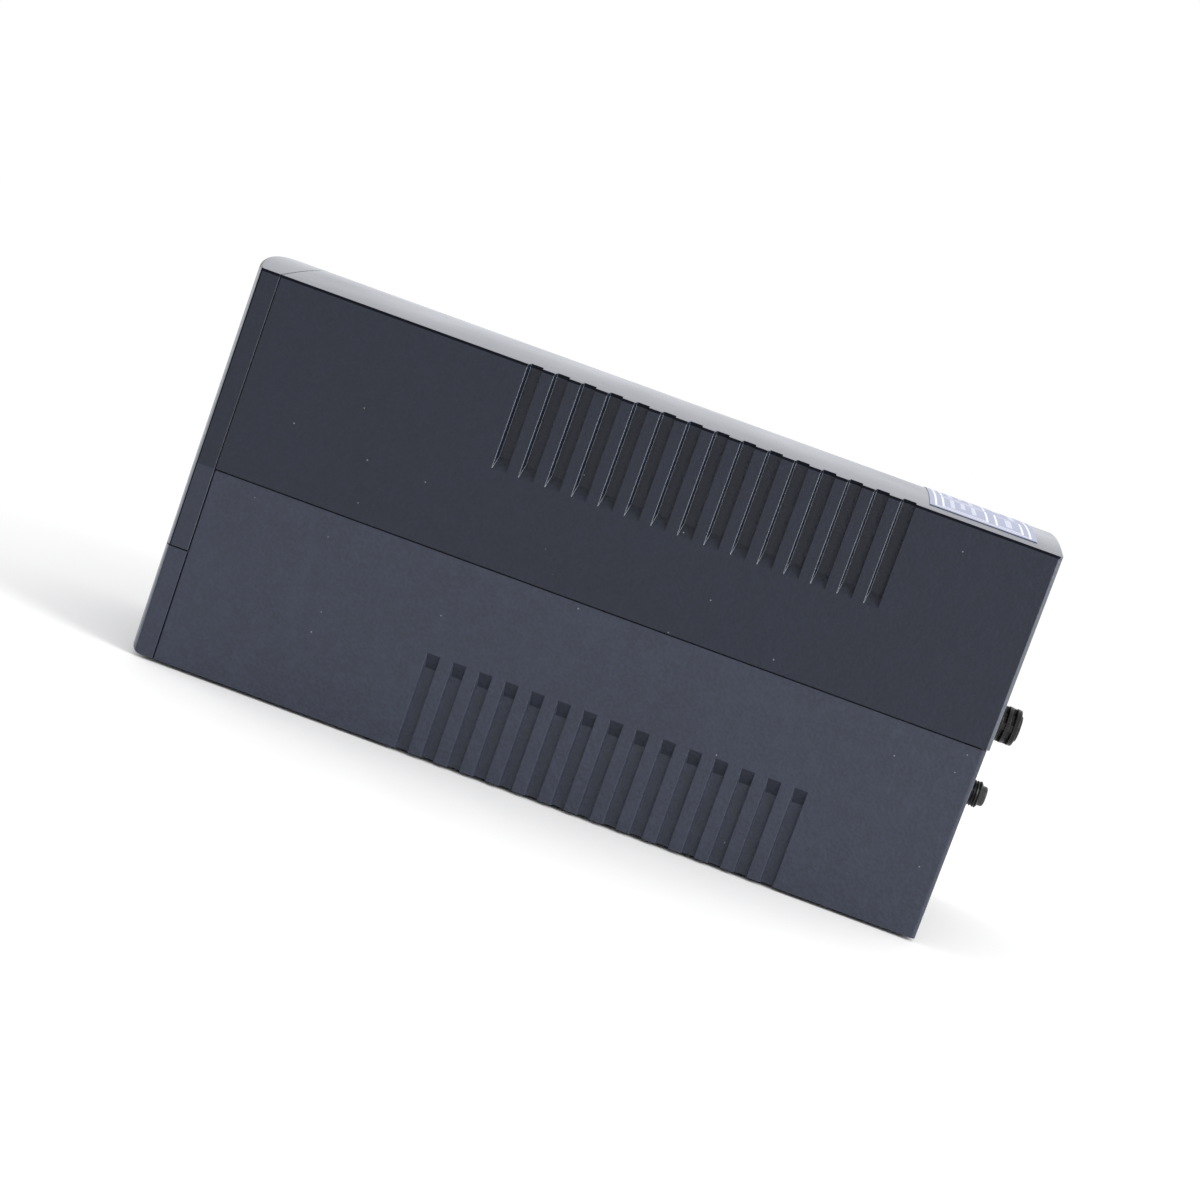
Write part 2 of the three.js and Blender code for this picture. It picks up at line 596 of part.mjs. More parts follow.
function roundedSquare(half, radius, cx, cz) {
  const inner = half - radius;
  return [
    ...arc(cx + inner, cz + inner, radius, 0, 90, 6),
    ...arc(cx - inner, cz + inner, radius, 90, 180, 6),
    ...arc(cx - inner, cz - inner, radius, 180, 270, 6),
    ...arc(cx + inner, cz - inner, radius, 270, 360, 6),
  ];
}

const SOCKET_FACE = PANEL_OUT + FIT + SOCKET.flangeThick;
const SOCKET_BASE = SOCKET_FACE - SOCKET.deep;
const SOCKET_BACK = SOCKET_BASE - SOCKET.base - PIN.chamberDeep;
const CLIP_INNER = SOCKET.recessR - CLIP.inwards;

function socket(z) {
  const flange = alongY(roundedSquare(SOCKET.flange / 2, 4, SOCKET.x, z), PANEL_OUT + FIT, SOCKET_FACE);
  const cup = rodY(SOCKET.x, z, SOCKET_BASE - SOCKET.base, PANEL_OUT + FIT + BITE, SOCKET.bodyR, 36);
  const block = box(SOCKET.x - PIN_BLOCK.half, SOCKET.x + PIN_BLOCK.half, SOCKET_BACK, SOCKET_BASE - BITE,
    z - PIN_BLOCK.high / 2, z + PIN_BLOCK.high / 2);
  const recess = rodY(SOCKET.x, z, SOCKET_BASE, SOCKET_FACE + PAST, SOCKET.recessR, 36);
  const pins = [-1, 1].map((side) => {
    const x = SOCKET.x + side * PIN.offset;
    const hole = rodY(x, z, SOCKET_BASE - 2 * BITE - SOCKET.base, SOCKET_BASE + PAST, PIN.radius, 16);
    return hole.add(rodY(x, z, SOCKET_BACK - PAST, SOCKET_BACK + PIN.chamberDeep, PIN.chamber, 16));
  });
  const slotHalf = CLIP.width / 2 + FIT;
  const clipLow = SOCKET_BASE - SOCKET.base - PAST;
  const slots = [-1, 1].map((side) => {
    const za = z + side * (CLIP_INNER - FIT);
    const zb = z + side * (SOCKET.recessR + 0.2);
    const low = Math.min(za, zb);
    const high = Math.max(za, zb);
    return box(SOCKET.x - slotHalf, SOCKET.x + slotHalf, clipLow, SOCKET_BASE + PAST, low, high);
  });
  return joined([flange, cup, block]).subtract(joined([recess, ...pins, ...slots]));
}

// Two spring arms in the recess, joined by a strip behind the socket's back.
function earthClip(z) {
  const top = SOCKET_BASE + CLIP.arm;
  const back = SOCKET_BACK - FIT - CLIP.thick;
  const outer = SOCKET.recessR - 0.6;
  const half = CLIP.width / 2;
  const strip = [
    [back, outer],
    [back, -outer],
    [top - 6, -outer],
    [top - 3, -CLIP_INNER],
    [top, -outer + 0.6],
    [top, -outer + 0.6 + CLIP.thick],
    [top - 3, -CLIP_INNER + CLIP.thick],
    [top - 6.2, -outer + CLIP.thick],
    [back + CLIP.thick, -outer + CLIP.thick],
    [back + CLIP.thick, outer - CLIP.thick],
    [top - 6.2, outer - CLIP.thick],
    [top - 3, CLIP_INNER - CLIP.thick],
    [top, outer - 0.6 - CLIP.thick],
    [top, outer - 0.6],
    [top - 3, CLIP_INNER],
    [top - 6, outer],
  ];
  return solid(alongX(strip, SOCKET.x - half, SOCKET.x + half)).translate([0, 0, z]);
}

function contactSleeve(x, z) {
  const inner = PIN.radius - 0.3;
  const low = FIT;
  const high = PIN.chamberDeep - FIT;
  const profile = [[inner, low], [PIN.sleeveR, low], [PIN.sleeveR, high], [inner, high], [inner, low]];
  return turnedY(x, SOCKET_BACK, z, profile, 14);
}

function cordGland() {
  const rings = GLAND_RINGS.flatMap((ring) => [
    [GLAND.core, ring.start],
    [GLAND.radius, ring.start],
    [GLAND.radius, ring.end],
    [GLAND.core, ring.end],
  ]);
  const proud = GLAND.proud + PANEL_RECESS;
  const profile = [
    [GLAND.bore, FIT - PANEL_THICK - GLAND.tail],
    [GLAND.neck, FIT - PANEL_THICK - GLAND.tail],
    [GLAND.neck, FIT],
    [GLAND_FLANGE.radius, FIT],
    [GLAND_FLANGE.radius, FIT + GLAND_FLANGE.thick],
    ...rings,
    [GLAND.core, proud],
    [GLAND.bore, proud],
    [GLAND.bore, FIT - PANEL_THICK - GLAND.tail],
  ];
  return turnedY(COLUMN_X, PANEL_OUT, GLAND_Z, profile, 32).add(glandWebs());
}

// Short webs that tie the rings together on both sides.
function glandWebs() {
  const first = GLAND_RINGS[0].start + FIT;
  const last = GLAND_RINGS[GLAND_RINGS.length - 1].end - FIT;
  const near = GLAND.core - BITE;
  const far = GLAND.radius - GLAND_WEB.short;
  const webs = box(-far, far, first, last, -GLAND_WEB.half, GLAND_WEB.half)
    .subtract(box(-near, near, first - PAST, last + PAST, -GLAND.core, GLAND.core));
  return webs.translate([COLUMN_X, PANEL_OUT, GLAND_Z]);
}

const RESET_IN = PANEL_OUT + PANEL_RECESS + BREAKER.proud + RESET.proud - RESET.deep;

function breakerBody() {
  const halfX = BREAKER.bodyX / 2;
  const halfZ = BREAKER.bodyZ / 2;
  const face = PANEL_IN - FIT;
  const back = face - BREAKER.bodyDeep;
  const block = box(COLUMN_X - halfX, COLUMN_X + halfX, back, face, BREAKER_Z - halfZ, BREAKER_Z + halfZ);
  const neck = rodY(COLUMN_X, BREAKER_Z, face - BITE, REAR_Y + BREAKER.proud, BREAKER.neckR, 32);
  const hole = rodY(COLUMN_X, BREAKER_Z, RESET_IN - FIT, REAR_Y + 2 * BREAKER.proud, RESET.radius + FIT, 28);
  const tabs = [-1, 1].map((side) => {
    const z = BREAKER_Z + side * BREAKER_TAB.apart;
    return box(COLUMN_X - BREAKER_TAB.half, COLUMN_X + BREAKER_TAB.half, back - BREAKER_TAB.long, back + BITE,
      z - BREAKER_TAB.thick / 2, z + BREAKER_TAB.thick / 2);
  });
  return joined([block, neck, ...tabs]).subtract(hole);
}

function breakerNut() {
  const radius = NUT.acrossFlats / Math.sqrt(3);
  const hex = rodY(COLUMN_X, BREAKER_Z, PANEL_OUT + FIT, PANEL_OUT + FIT + NUT.thick, radius, 6);
  return hex.subtract(rodY(COLUMN_X, BREAKER_Z, PANEL_OUT - PAST, REAR_Y + PAST, BREAKER.neckR + FIT, 24));
}

function resetButton() {
  const end = RESET.deep;
  const profile = [
    [0, 0],
    [RESET.radius, 0],
    [RESET.radius, end - RESET.edge],
    [RESET.radius - RESET.edge, end],
    [0, end],
  ];
  return turnedY(COLUMN_X, RESET_IN, BREAKER_Z, profile, 28);
}

// ---- Battery and its strap ----
const BATTERY_FRONT = FRONT_Y + BATTERY.fromFront;
const BATTERY_LOW = FLOOR + BATTERY.lift;
const BATTERY_TOP = BATTERY_LOW + BATTERY.height;
const TERMINAL_Y = BATTERY_FRONT + BATTERY.length - TERMINAL.inY;

function batteryCase() {
  const half = BATTERY.width / 2;
  const end = BATTERY_FRONT + BATTERY.length;
  const block = box(-half, half, BATTERY_FRONT, end, BATTERY_LOW, BATTERY_TOP);
  const wells = [-1, 1].map((side) => {
    const x = side * TERMINAL.x;
    return box(x - WELL.half, x + WELL.half, TERMINAL_Y - WELL.half, TERMINAL_Y + WELL.half,
      BATTERY_TOP - WELL.deep, BATTERY_TOP + PAST);
  });
  return block.subtract(joined(wells));
}

function terminal(side) {
  const x = side * TERMINAL.x;
  const halfX = TERMINAL.width / 2;
  const halfY = TERMINAL.thick / 2;
  const low = BATTERY_TOP - WELL.deep + FIT;
  const high = BATTERY_TOP + TERMINAL.high;
  const tab = box(x - halfX, x + halfX, TERMINAL_Y - halfY, TERMINAL_Y + halfY, low, high);
  const front = TERMINAL_Y - TERMINAL.foot;
  return tab.add(box(x - halfX, x + halfX, front, TERMINAL_Y + halfY, low, low + TERMINAL.thick));
}

const STRAP_HALF = BATTERY.width / 2 + FIT;
const STRAP_SCREW_X = STRAP_HALF + STRAP.thick + STRAP.foot / 2;
const STRAP_FOOT_Z = FLOOR + 6;
const STRAP_Y = BATTERY_FRONT + STRAP.from;
const STRAP_SCREWS = [-1, 1].map((side) => (
  { x: side * STRAP_SCREW_X, y: STRAP_Y + STRAP.width / 2, top: STRAP_FOOT_Z - FIT }));

function batteryStrap() {
  const inner = STRAP_HALF;
  const outer = inner + STRAP.thick;
  const foot = outer + STRAP.foot;
  const z0 = STRAP_FOOT_Z;
  const top = BATTERY_TOP + FIT;
  const outline = [
    [-foot, z0], [-inner, z0], [-inner, top], [inner, top], [inner, z0], [foot, z0],
    [foot, z0 + STRAP.thick], [outer, z0 + STRAP.thick], [outer, top + STRAP.thick],
    [-outer, top + STRAP.thick], [-outer, z0 + STRAP.thick], [-foot, z0 + STRAP.thick],
  ];
  const holes = STRAP_SCREWS.map((p) => rodZ(p.x, p.y, z0 - PAST, z0 + 2 * PAST, SCREW.shank + FIT, 16));
  return alongY(outline, STRAP_Y, STRAP_Y + STRAP.width).subtract(joined(holes));
}

// A pan-head screw pointing down, its head's underside at z.
function screwDown(x, y, z) {
  const shank = rodZ(x, y, z - SCREW.short, z + 0.2, SCREW.shank, 12);
  return shank.add(rodZ(x, y, z, z + SCREW.headHigh, SCREW.head, 16));
}

function caseScrew(place) {
  const shank = rodZ(place.x, place.y, SEAT - FIT - 0.2, POST.low + SCREW.bite, SCREW.shank, 12);
  const head = rodZ(place.x, place.y, SEAT - FIT - SCREW.headHigh, SEAT - FIT, SCREW.head, 18);
  const half = DRIVER_SLOT.half;
  const wide = DRIVER_SLOT.halfWide;
  const slotTop = SEAT - FIT - SCREW.headHigh + DRIVER_SLOT.deep;
  const slot = box(place.x - half, place.x + half, place.y - wide, place.y + wide, 0, slotTop);
  return shank.add(head).subtract(slot);
}

function batteryLead(side) {
  const x = side * TERMINAL.x;
  const z = BATTERY_TOP + 5.2;
  const end = BATTERY_FRONT + BATTERY.length;
  const top = BOARD_LOW - FIT;
  const path = new THREE.CatmullRomCurve3([
    new THREE.Vector3(x, TERMINAL_Y + 1, z),
    new THREE.Vector3(x, TERMINAL_Y + 8, z),
    new THREE.Vector3(x * 0.92, end + 3, z - 1.5),
    new THREE.Vector3(x * 0.85, end + 10, z - 0.5),
    new THREE.Vector3(x * 0.85, end + 13, z + 2.5),
    new THREE.Vector3(x * 0.85, end + 13.5, top),
  ]);
  const ring = new THREE.Shape(arc(0, 0, LEAD.radius, 0, 315, 7).map(([u, v]) => new THREE.Vector2(u, v)));
  const tube = solid(new THREE.ExtrudeGeometry(ring, { steps: 16, bevelEnabled: false, extrudePath: path }));
  const halfX = LEAD.sleeveX / 2;
  const halfY = LEAD.sleeveY / 2;
  const low = BATTERY_TOP + 0.8;
  const sleeve = box(x - halfX, x + halfX, TERMINAL_Y - halfY, TERMINAL_Y + halfY, low, low + LEAD.sleeveZ);
  const pocketX = TERMINAL.width / 2 + FIT;
  const pocketY = TERMINAL.thick / 2 + FIT;
  const pocket = box(x - pocketX, x + pocketX, TERMINAL_Y - pocketY, TERMINAL_Y + pocketY, low - PAST,
    BATTERY_TOP + TERMINAL.high + FIT);
  const trimmed = tube.subtract(box(x - 9, x + 9, TERMINAL_Y - 9, TERMINAL_Y + pocketY, low - PAST, low + 9));
  return sleeve.subtract(pocket).add(trimmed);
}

// ---- Transformer ----
const CORE_FRONT = BATTERY_FRONT + BATTERY.length + CORE.behind;
const CORE_LOW = FLOOR + CORE.lift;
const CORE_BACK = CORE_FRONT + CORE.stack;
const WINDOW = { x0: CORE.leg / 2, x1: CORE.width / 2 - CORE.leg / 2, z: CORE.leg / 2 };

function transformerCore() {
  const block = box(-CORE.width / 2, CORE.width / 2, CORE_FRONT, CORE_BACK, CORE_LOW, CORE_LOW + CORE.height);
  const window = box(WINDOW.x0, WINDOW.x1, CORE_FRONT - PAST, CORE_BACK + PAST,
    CORE_LOW + WINDOW.z, CORE_LOW + CORE.height - WINDOW.z);
  return block.subtract(bothSides(window));
}

function transformerWinding() {
  const gap = COIL.clear;
  const x = WINDOW.x1 - gap;
  const z0 = CORE_LOW + WINDOW.z + gap;
  const z1 = CORE_LOW + CORE.height - WINDOW.z - gap;
  const corner = 6;
  const outline = (halfX, front, back, r) => [
    ...arc(halfX - r, front + r, r, -90, 0, 3),
    ...arc(halfX - r, back - r, r, 0, 90, 3),
    ...arc(r - halfX, back - r, r, 90, 180, 3),
    ...arc(r - halfX, front + r, r, 180, 270, 3),
  ];
  const outer = risen(outline(x, CORE_FRONT - COIL.overhang, CORE_BACK + COIL.overhang, corner), z0, z1);
  const halfIn = WINDOW.x0 + gap;
  return outer.subtract(box(-halfIn, halfIn, CORE_FRONT - gap, CORE_BACK + gap, z0 - PAST, z1 + PAST));
}

const FRAME_HALF = CORE.width / 2 + FIT;
const FRAME_LOW = CORE_LOW - FIT - FRAME.thick;
const FRAME_SCREWS = [
  { x: -FRAME.tabX, y: CORE_FRONT - FRAME.tab / 2, top: FRAME_LOW - FIT },
  { x: FRAME.tabX, y: CORE_BACK + FRAME.tab / 2, top: FRAME_LOW - FIT },
];

// A steel band around the core, with a base plate whose tabs are screwed down.
function transformerFrame() {
  const inner = FRAME_HALF;
  const outer = inner + FRAME.thick;
  const top = CORE_LOW + CORE.height + FIT;
  const y0 = CORE_FRONT + 3;
  const y1 = CORE_BACK - 3;
  const band = box(-outer, outer, y0, y1, FRAME_LOW, top + FRAME.thick)
    .subtract(box(-inner, inner, y0 - PAST, y1 + PAST, CORE_LOW - FIT, top));
  const halfTab = FRAME.tabWidth / 2;
  const tabs = FRAME_SCREWS.map((p) => {
    const ahead = p.y < CORE_FRONT;
    const from = ahead ? CORE_FRONT - FRAME.tab : y1 - PAST;
    const to = ahead ? y0 + PAST : CORE_BACK + FRAME.tab;
    const hole = rodZ(p.x, p.y, 0, CORE_LOW, SCREW.shank + FIT, 16);
    return box(p.x - halfTab, p.x + halfTab, from, to, FRAME_LOW, CORE_LOW - FIT).subtract(hole);
  });
  return joined([band, ...tabs]);
}

// ---- Main board ----
const BOARD_LOW = BATTERY_TOP + BOARD.above;
const BOARD_TOP = BOARD_LOW + BOARD.thick;
const PAD_IN = UPPER_GROOVE.depth + UPPER_GROOVE.skin;
const BOARD_FRONT = FRONT_Y + BOARD.from;
const ON_BOARD = BOARD_TOP + FIT;

function mainBoard() {
  const half = sideX(BOARD_TOP) - PAD_IN - 2 * FIT;
  return box(-half, half, BOARD_FRONT + FIT, BOARD_FRONT + BOARD.length, BOARD_LOW, BOARD_TOP);
}

const SINK_X = SINK.x;
const SINK_Y = BOARD_FRONT + SINK.along;

function heatSink() {
  const back = SINK_X + SINK.thick;
  const end = SINK_Y + SINK.length;
  const plate = box(SINK_X, back, SINK_Y, end, ON_BOARD, ON_BOARD + SINK.high);
  const rise = (SINK.high - SINK.lowest - 2) / (SINK.fins - 1);
  const fins = row(SINK.fins, (i) => {
    const z = ON_BOARD + SINK.lowest + rise * i;
    return box(back - BITE, back + SINK.finReach, SINK_Y, end, z - SINK.fin, z);
  });
  return plate.add(fins);
}

function transistor(i) {
  const y = SINK_Y + TRANSISTOR.first + TRANSISTOR.pitch * i;
  const back = SINK_X - FIT;
  const low = ON_BOARD + TRANSISTOR.legs;
  const body = box(back - TRANSISTOR.thick, back, y, y + TRANSISTOR.width, low, low + TRANSISTOR.high);
  const legs = row(3, (k) => {
    const middle = y + TRANSISTOR.width / 2 + LEG.pitch * (k - 1);
    return box(back - LEG.far, back - LEG.near, middle - LEG.half, middle + LEG.half, ON_BOARD, low + BITE);
  });
  return body.add(legs);
}

function relay(i) {
  const y = BOARD_FRONT + RELAY.along - RELAY.pitch * i;
  return box(RELAY.left, RELAY.left + RELAY.x, y, y + RELAY.y, ON_BOARD, ON_BOARD + RELAY.z);
}

function capacitor() {
  const top = ON_BOARD + CAPACITOR.high;
  return rodZ(CAPACITOR.x, BOARD_FRONT + CAPACITOR.along, ON_BOARD, top, CAPACITOR.radius, 24);
}

function buzzer() {
  const y = BOARD_FRONT + BUZZER.along;
  const top = ON_BOARD + BUZZER.high;
  const hole = rodZ(BUZZER.x, y, ON_BOARD + BUZZER.holeFrom, top + PAST, BUZZER.hole, 10);
  return rodZ(BUZZER.x, y, ON_BOARD, top, BUZZER.radius, 24).subtract(hole);
}

// ---- Feet and label ----
const FOOT_X = HALF - FOOT.inX;
const FOOT_PLACES = [
  { name: 'front_left', x: -FOOT_X, y: FRONT_Y + FOOT.frontIn },
  { name: 'front_right', x: FOOT_X, y: FRONT_Y + FOOT.frontIn },
  { name: 'rear_left', x: -FOOT_X, y: REAR_Y - FOOT.rearIn },
  { name: 'rear_right', x: FOOT_X, y: REAR_Y - FOOT.rearIn },
];

const foot = (place) => rodZ(place.x, place.y, 0, UNDERSIDE + FOOT.recess - FIT, FOOT.radius, 24);

function topLabel() {
  const half = LABEL.width / 2;
  const y = REAR_Y - LABEL.fromRear - LABEL.length;
  const low = (x) => crownZ(x) + LABEL.gap;
  const high = (x) => crownZ(x) + LABEL.gap + LABEL.thick;
  return alongY([...curve(-half, half, low, 16), ...curve(half, -half, high, 16)], y, y + LABEL.length);
}

// ---- Materials ----
const UPPER_PLASTIC = { color: 0x3a3d42, roughness: 0.55 };
const LOWER_PLASTIC = { color: 0x45474e, roughness: 0.55 };
const BLACK_PLASTIC = { color: 0x141517, roughness: 0.5 };
const GLOSS_BLACK = { color: 0x0c0d0f, roughness: 0.12 };
const RUBBER = { color: 0x121212, roughness: 0.9 };
const STEEL = { color: 0xa8abae, roughness: 0.35, metalness: 1 };
const BRASS = { color: 0xb99a55, roughness: 0.35, metalness: 1 };
const ALUMINIUM = { color: 0xb8bbbf, roughness: 0.4, metalness: 1 };
const COPPER = { color: 0x9a4f22, roughness: 0.4, metalness: 1 };
const IRON = { color: 0x3c4046, roughness: 0.5, metalness: 1 };
const BOARD_GREEN = { color: 0x1f5a34, roughness: 0.5 };
const LABEL_PAPER = { color: 0xdadde2, roughness: 0.45 };

const ups = new THREE.Group();
ups.name = 'uninterruptible_power_supply';

function put(name, body, look) {
  const mesh = new THREE.Mesh(geometryOf(body), new THREE.MeshStandardMaterial(look));
  mesh.name = name;
  ups.add(mesh);
}

// ---- Assembly ----
put('upper_shell', upperShell(), UPPER_PLASTIC);
put('lower_shell', lowerShell(), LOWER_PLASTIC);
put('front_bezel', frontBezel(), UPPER_PLASTIC);
put('lower_front_panel', lowerFrontPanel(), LOWER_PLASTIC);
put('control_panel', controlPanel(), GLOSS_BLACK);
put('power_button', powerButton(), BLACK_PLASTIC);
['line', 'battery', 'fault'].forEach((sign, i) => {
  put(`${sign}_lens`, lens(LENS_Z[i]), { color: 0xd8e4d8, roughness: 0.2 });
  put(`${sign}_led`, led(LENS_Z[i]), { color: 0xc8d8c0, roughness: 0.2 });
});
put('switch_board', switchBoard(), BOARD_GREEN);
put('button_switch', buttonSwitch(), BLACK_PLASTIC);

put('rear_panel', rearPanel(), BLACK_PLASTIC);
['lower', 'upper'].forEach((level, i) => {
  const z = SOCKET_Z[i];
  put(`${level}_socket`, socket(z), BLACK_PLASTIC);
  put(`${level}_earth_clip`, earthClip(z), STEEL);
  put(`${level}_contact_left`, contactSleeve(SOCKET.x - PIN.offset, z), BRASS);
  put(`${level}_contact_right`, contactSleeve(SOCKET.x + PIN.offset, z), BRASS);
});
put('cord_gland', cordGland(), RUBBER);
put('breaker_body', breakerBody(), BLACK_PLASTIC);
put('breaker_nut', breakerNut(), STEEL);
put('breaker_reset_button', resetButton(), BLACK_PLASTIC);

put('battery_case', batteryCase(), { color: 0x2a2c30, roughness: 0.5 });
put('battery_terminal_positive', terminal(1), BRASS);
put('battery_terminal_negative', terminal(-1), BRASS);
put('battery_strap', batteryStrap(), STEEL);
STRAP_SCREWS.forEach((p, i) => {
  put(`strap_screw_${i + 1}`, screwDown(p.x, p.y, STRAP_FOOT_Z + STRAP.thick + TOUCH), STEEL);
});
put('battery_lead_red', batteryLead(1), { color: 0xb01818, roughness: 0.5 });
put('battery_lead_black', batteryLead(-1), BLACK_PLASTIC);

put('transformer_core', transformerCore(), IRON);
put('transformer_winding', transformerWinding(), COPPER);
put('transformer_frame', transformerFrame(), STEEL);
FRAME_SCREWS.forEach((p, i) => {
  put(`transformer_screw_${i + 1}`, screwDown(p.x, p.y, CORE_LOW - FIT + TOUCH), STEEL);
});

put('main_board', mainBoard(), BOARD_GREEN);
put('heat_sink', heatSink(), ALUMINIUM);
[0, 1].forEach((i) => put(`power_transistor_${i + 1}`, transistor(i), BLACK_PLASTIC));
[0, 1].forEach((i) => put(`relay_${i + 1}`, relay(i), { color: 0x1c3f78, roughness: 0.4 }));
put('filter_capacitor', capacitor(), { color: 0x22252c, roughness: 0.35 });
put('buzzer', buzzer(), BLACK_PLASTIC);

FOOT_PLACES.forEach((place) => put(`foot_${place.name}`, foot(place), RUBBER));
POST_PLACES.forEach((place) => put(`case_screw_${place.name}`, caseScrew(place), STEEL));
put('top_label', topLabel(), LABEL_PAPER);

export default ups;
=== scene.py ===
"""A small tower power supply with a battery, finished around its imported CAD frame. Lengths are in metres."""

import json
import math

import bmesh
import bpy
from bpy.props import FloatProperty, FloatVectorProperty, IntProperty, PointerProperty
from mathutils import Matrix, Vector

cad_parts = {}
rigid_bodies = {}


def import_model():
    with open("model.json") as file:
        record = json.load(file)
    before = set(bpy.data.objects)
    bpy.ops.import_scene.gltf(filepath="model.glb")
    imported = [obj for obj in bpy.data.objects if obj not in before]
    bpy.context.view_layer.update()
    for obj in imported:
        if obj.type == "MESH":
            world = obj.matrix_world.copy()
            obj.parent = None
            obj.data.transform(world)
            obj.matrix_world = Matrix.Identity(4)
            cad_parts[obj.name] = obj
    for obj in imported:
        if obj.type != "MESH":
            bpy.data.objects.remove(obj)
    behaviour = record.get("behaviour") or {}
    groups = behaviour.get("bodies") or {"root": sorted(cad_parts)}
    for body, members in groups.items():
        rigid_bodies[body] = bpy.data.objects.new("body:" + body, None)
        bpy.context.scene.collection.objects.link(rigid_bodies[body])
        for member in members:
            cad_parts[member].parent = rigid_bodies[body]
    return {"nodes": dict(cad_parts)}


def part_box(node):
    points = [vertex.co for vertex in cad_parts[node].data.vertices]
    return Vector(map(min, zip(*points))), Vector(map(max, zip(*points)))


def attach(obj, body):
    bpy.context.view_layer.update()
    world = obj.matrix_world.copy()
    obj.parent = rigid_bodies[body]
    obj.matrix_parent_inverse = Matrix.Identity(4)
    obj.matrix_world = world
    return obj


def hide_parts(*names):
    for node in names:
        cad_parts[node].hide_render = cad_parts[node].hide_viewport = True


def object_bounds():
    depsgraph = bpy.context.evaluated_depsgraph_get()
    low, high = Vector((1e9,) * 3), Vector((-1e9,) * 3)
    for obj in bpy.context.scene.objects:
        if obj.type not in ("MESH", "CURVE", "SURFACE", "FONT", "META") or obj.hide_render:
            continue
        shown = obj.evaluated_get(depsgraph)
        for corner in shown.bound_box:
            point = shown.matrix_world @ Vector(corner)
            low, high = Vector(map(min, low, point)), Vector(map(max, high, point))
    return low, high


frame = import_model()
CAD_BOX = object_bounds()

bl_info = {
    "name": "Battery power supply finisher",
    "version": (1, 0, 0),
    "blender": (4, 5, 0),
    "location": "3D View > Sidebar > Power supply",
    "description": "Dresses the frame of a small tower power supply with its finished pieces",
    "category": "Object",
}

MM = 0.001
CASE_BODY = "case"
CORNERS = ("front_left", "front_right", "rear_left", "rear_right")

# Edges that turn by more than this stay sharp.
SHARP_ANGLE = math.radians(17)
# A face counts as flat side or underside above this share of its normal, and with less than this turn.
SIDE_FACING = 0.985
SIDE_TURN = 0.05
# Heights above the floor: the step below which the bezel takes the lighter lower tone, which is painted light,
# and the top rim of the sides.
SPLIT_HEIGHT = 71.0 * MM
RIM_HEIGHT = 140.2 * MM

# The first colour is a painted highlight for edges and front fillets, the second a painted shade for the dark
# lines round the case sides.
PAINTED_HIGHLIGHT_COLOUR = (0.42, 0.45, 0.5)
PAINTED_SHADE_COLOUR = (0.006, 0.007, 0.011)
DUST = (0.4, 0.4, 0.42)
COMPONENT_PITCH = 2.54 * MM
LAMINATION = 0.5 * MM

# Camera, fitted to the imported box.
CAMERA_PLACE = Vector((990.4, 38.8, 208.5)) * MM
CAMERA_YAW = math.radians(2.31)
CAMERA_PITCH = math.radians(8.10)
CAMERA_ROLL = math.radians(19.74)
LENS_MM = 84.27


# ---- Shader arithmetic ----
class Signal:
    """A shader socket that takes part in Python arithmetic."""

    def __init__(self, finish, socket):
        self.finish = finish
        self.socket = socket

    def __add__(self, other):
        return self.finish.math("ADD", self, other)

    __radd__ = __add__

    def __sub__(self, other):
        return self.finish.math("SUBTRACT", self, other)

    def __rsub__(self, other):
        return self.finish.math("SUBTRACT", other, self)

    def __mul__(self, other):
        return self.finish.math("MULTIPLY", self, other)

    __rmul__ = __mul__

    def __gt__(self, other):
        return self.finish.math("GREATER_THAN", self, other)

    def __lt__(self, other):
        return self.finish.math("LESS_THAN", self, other)


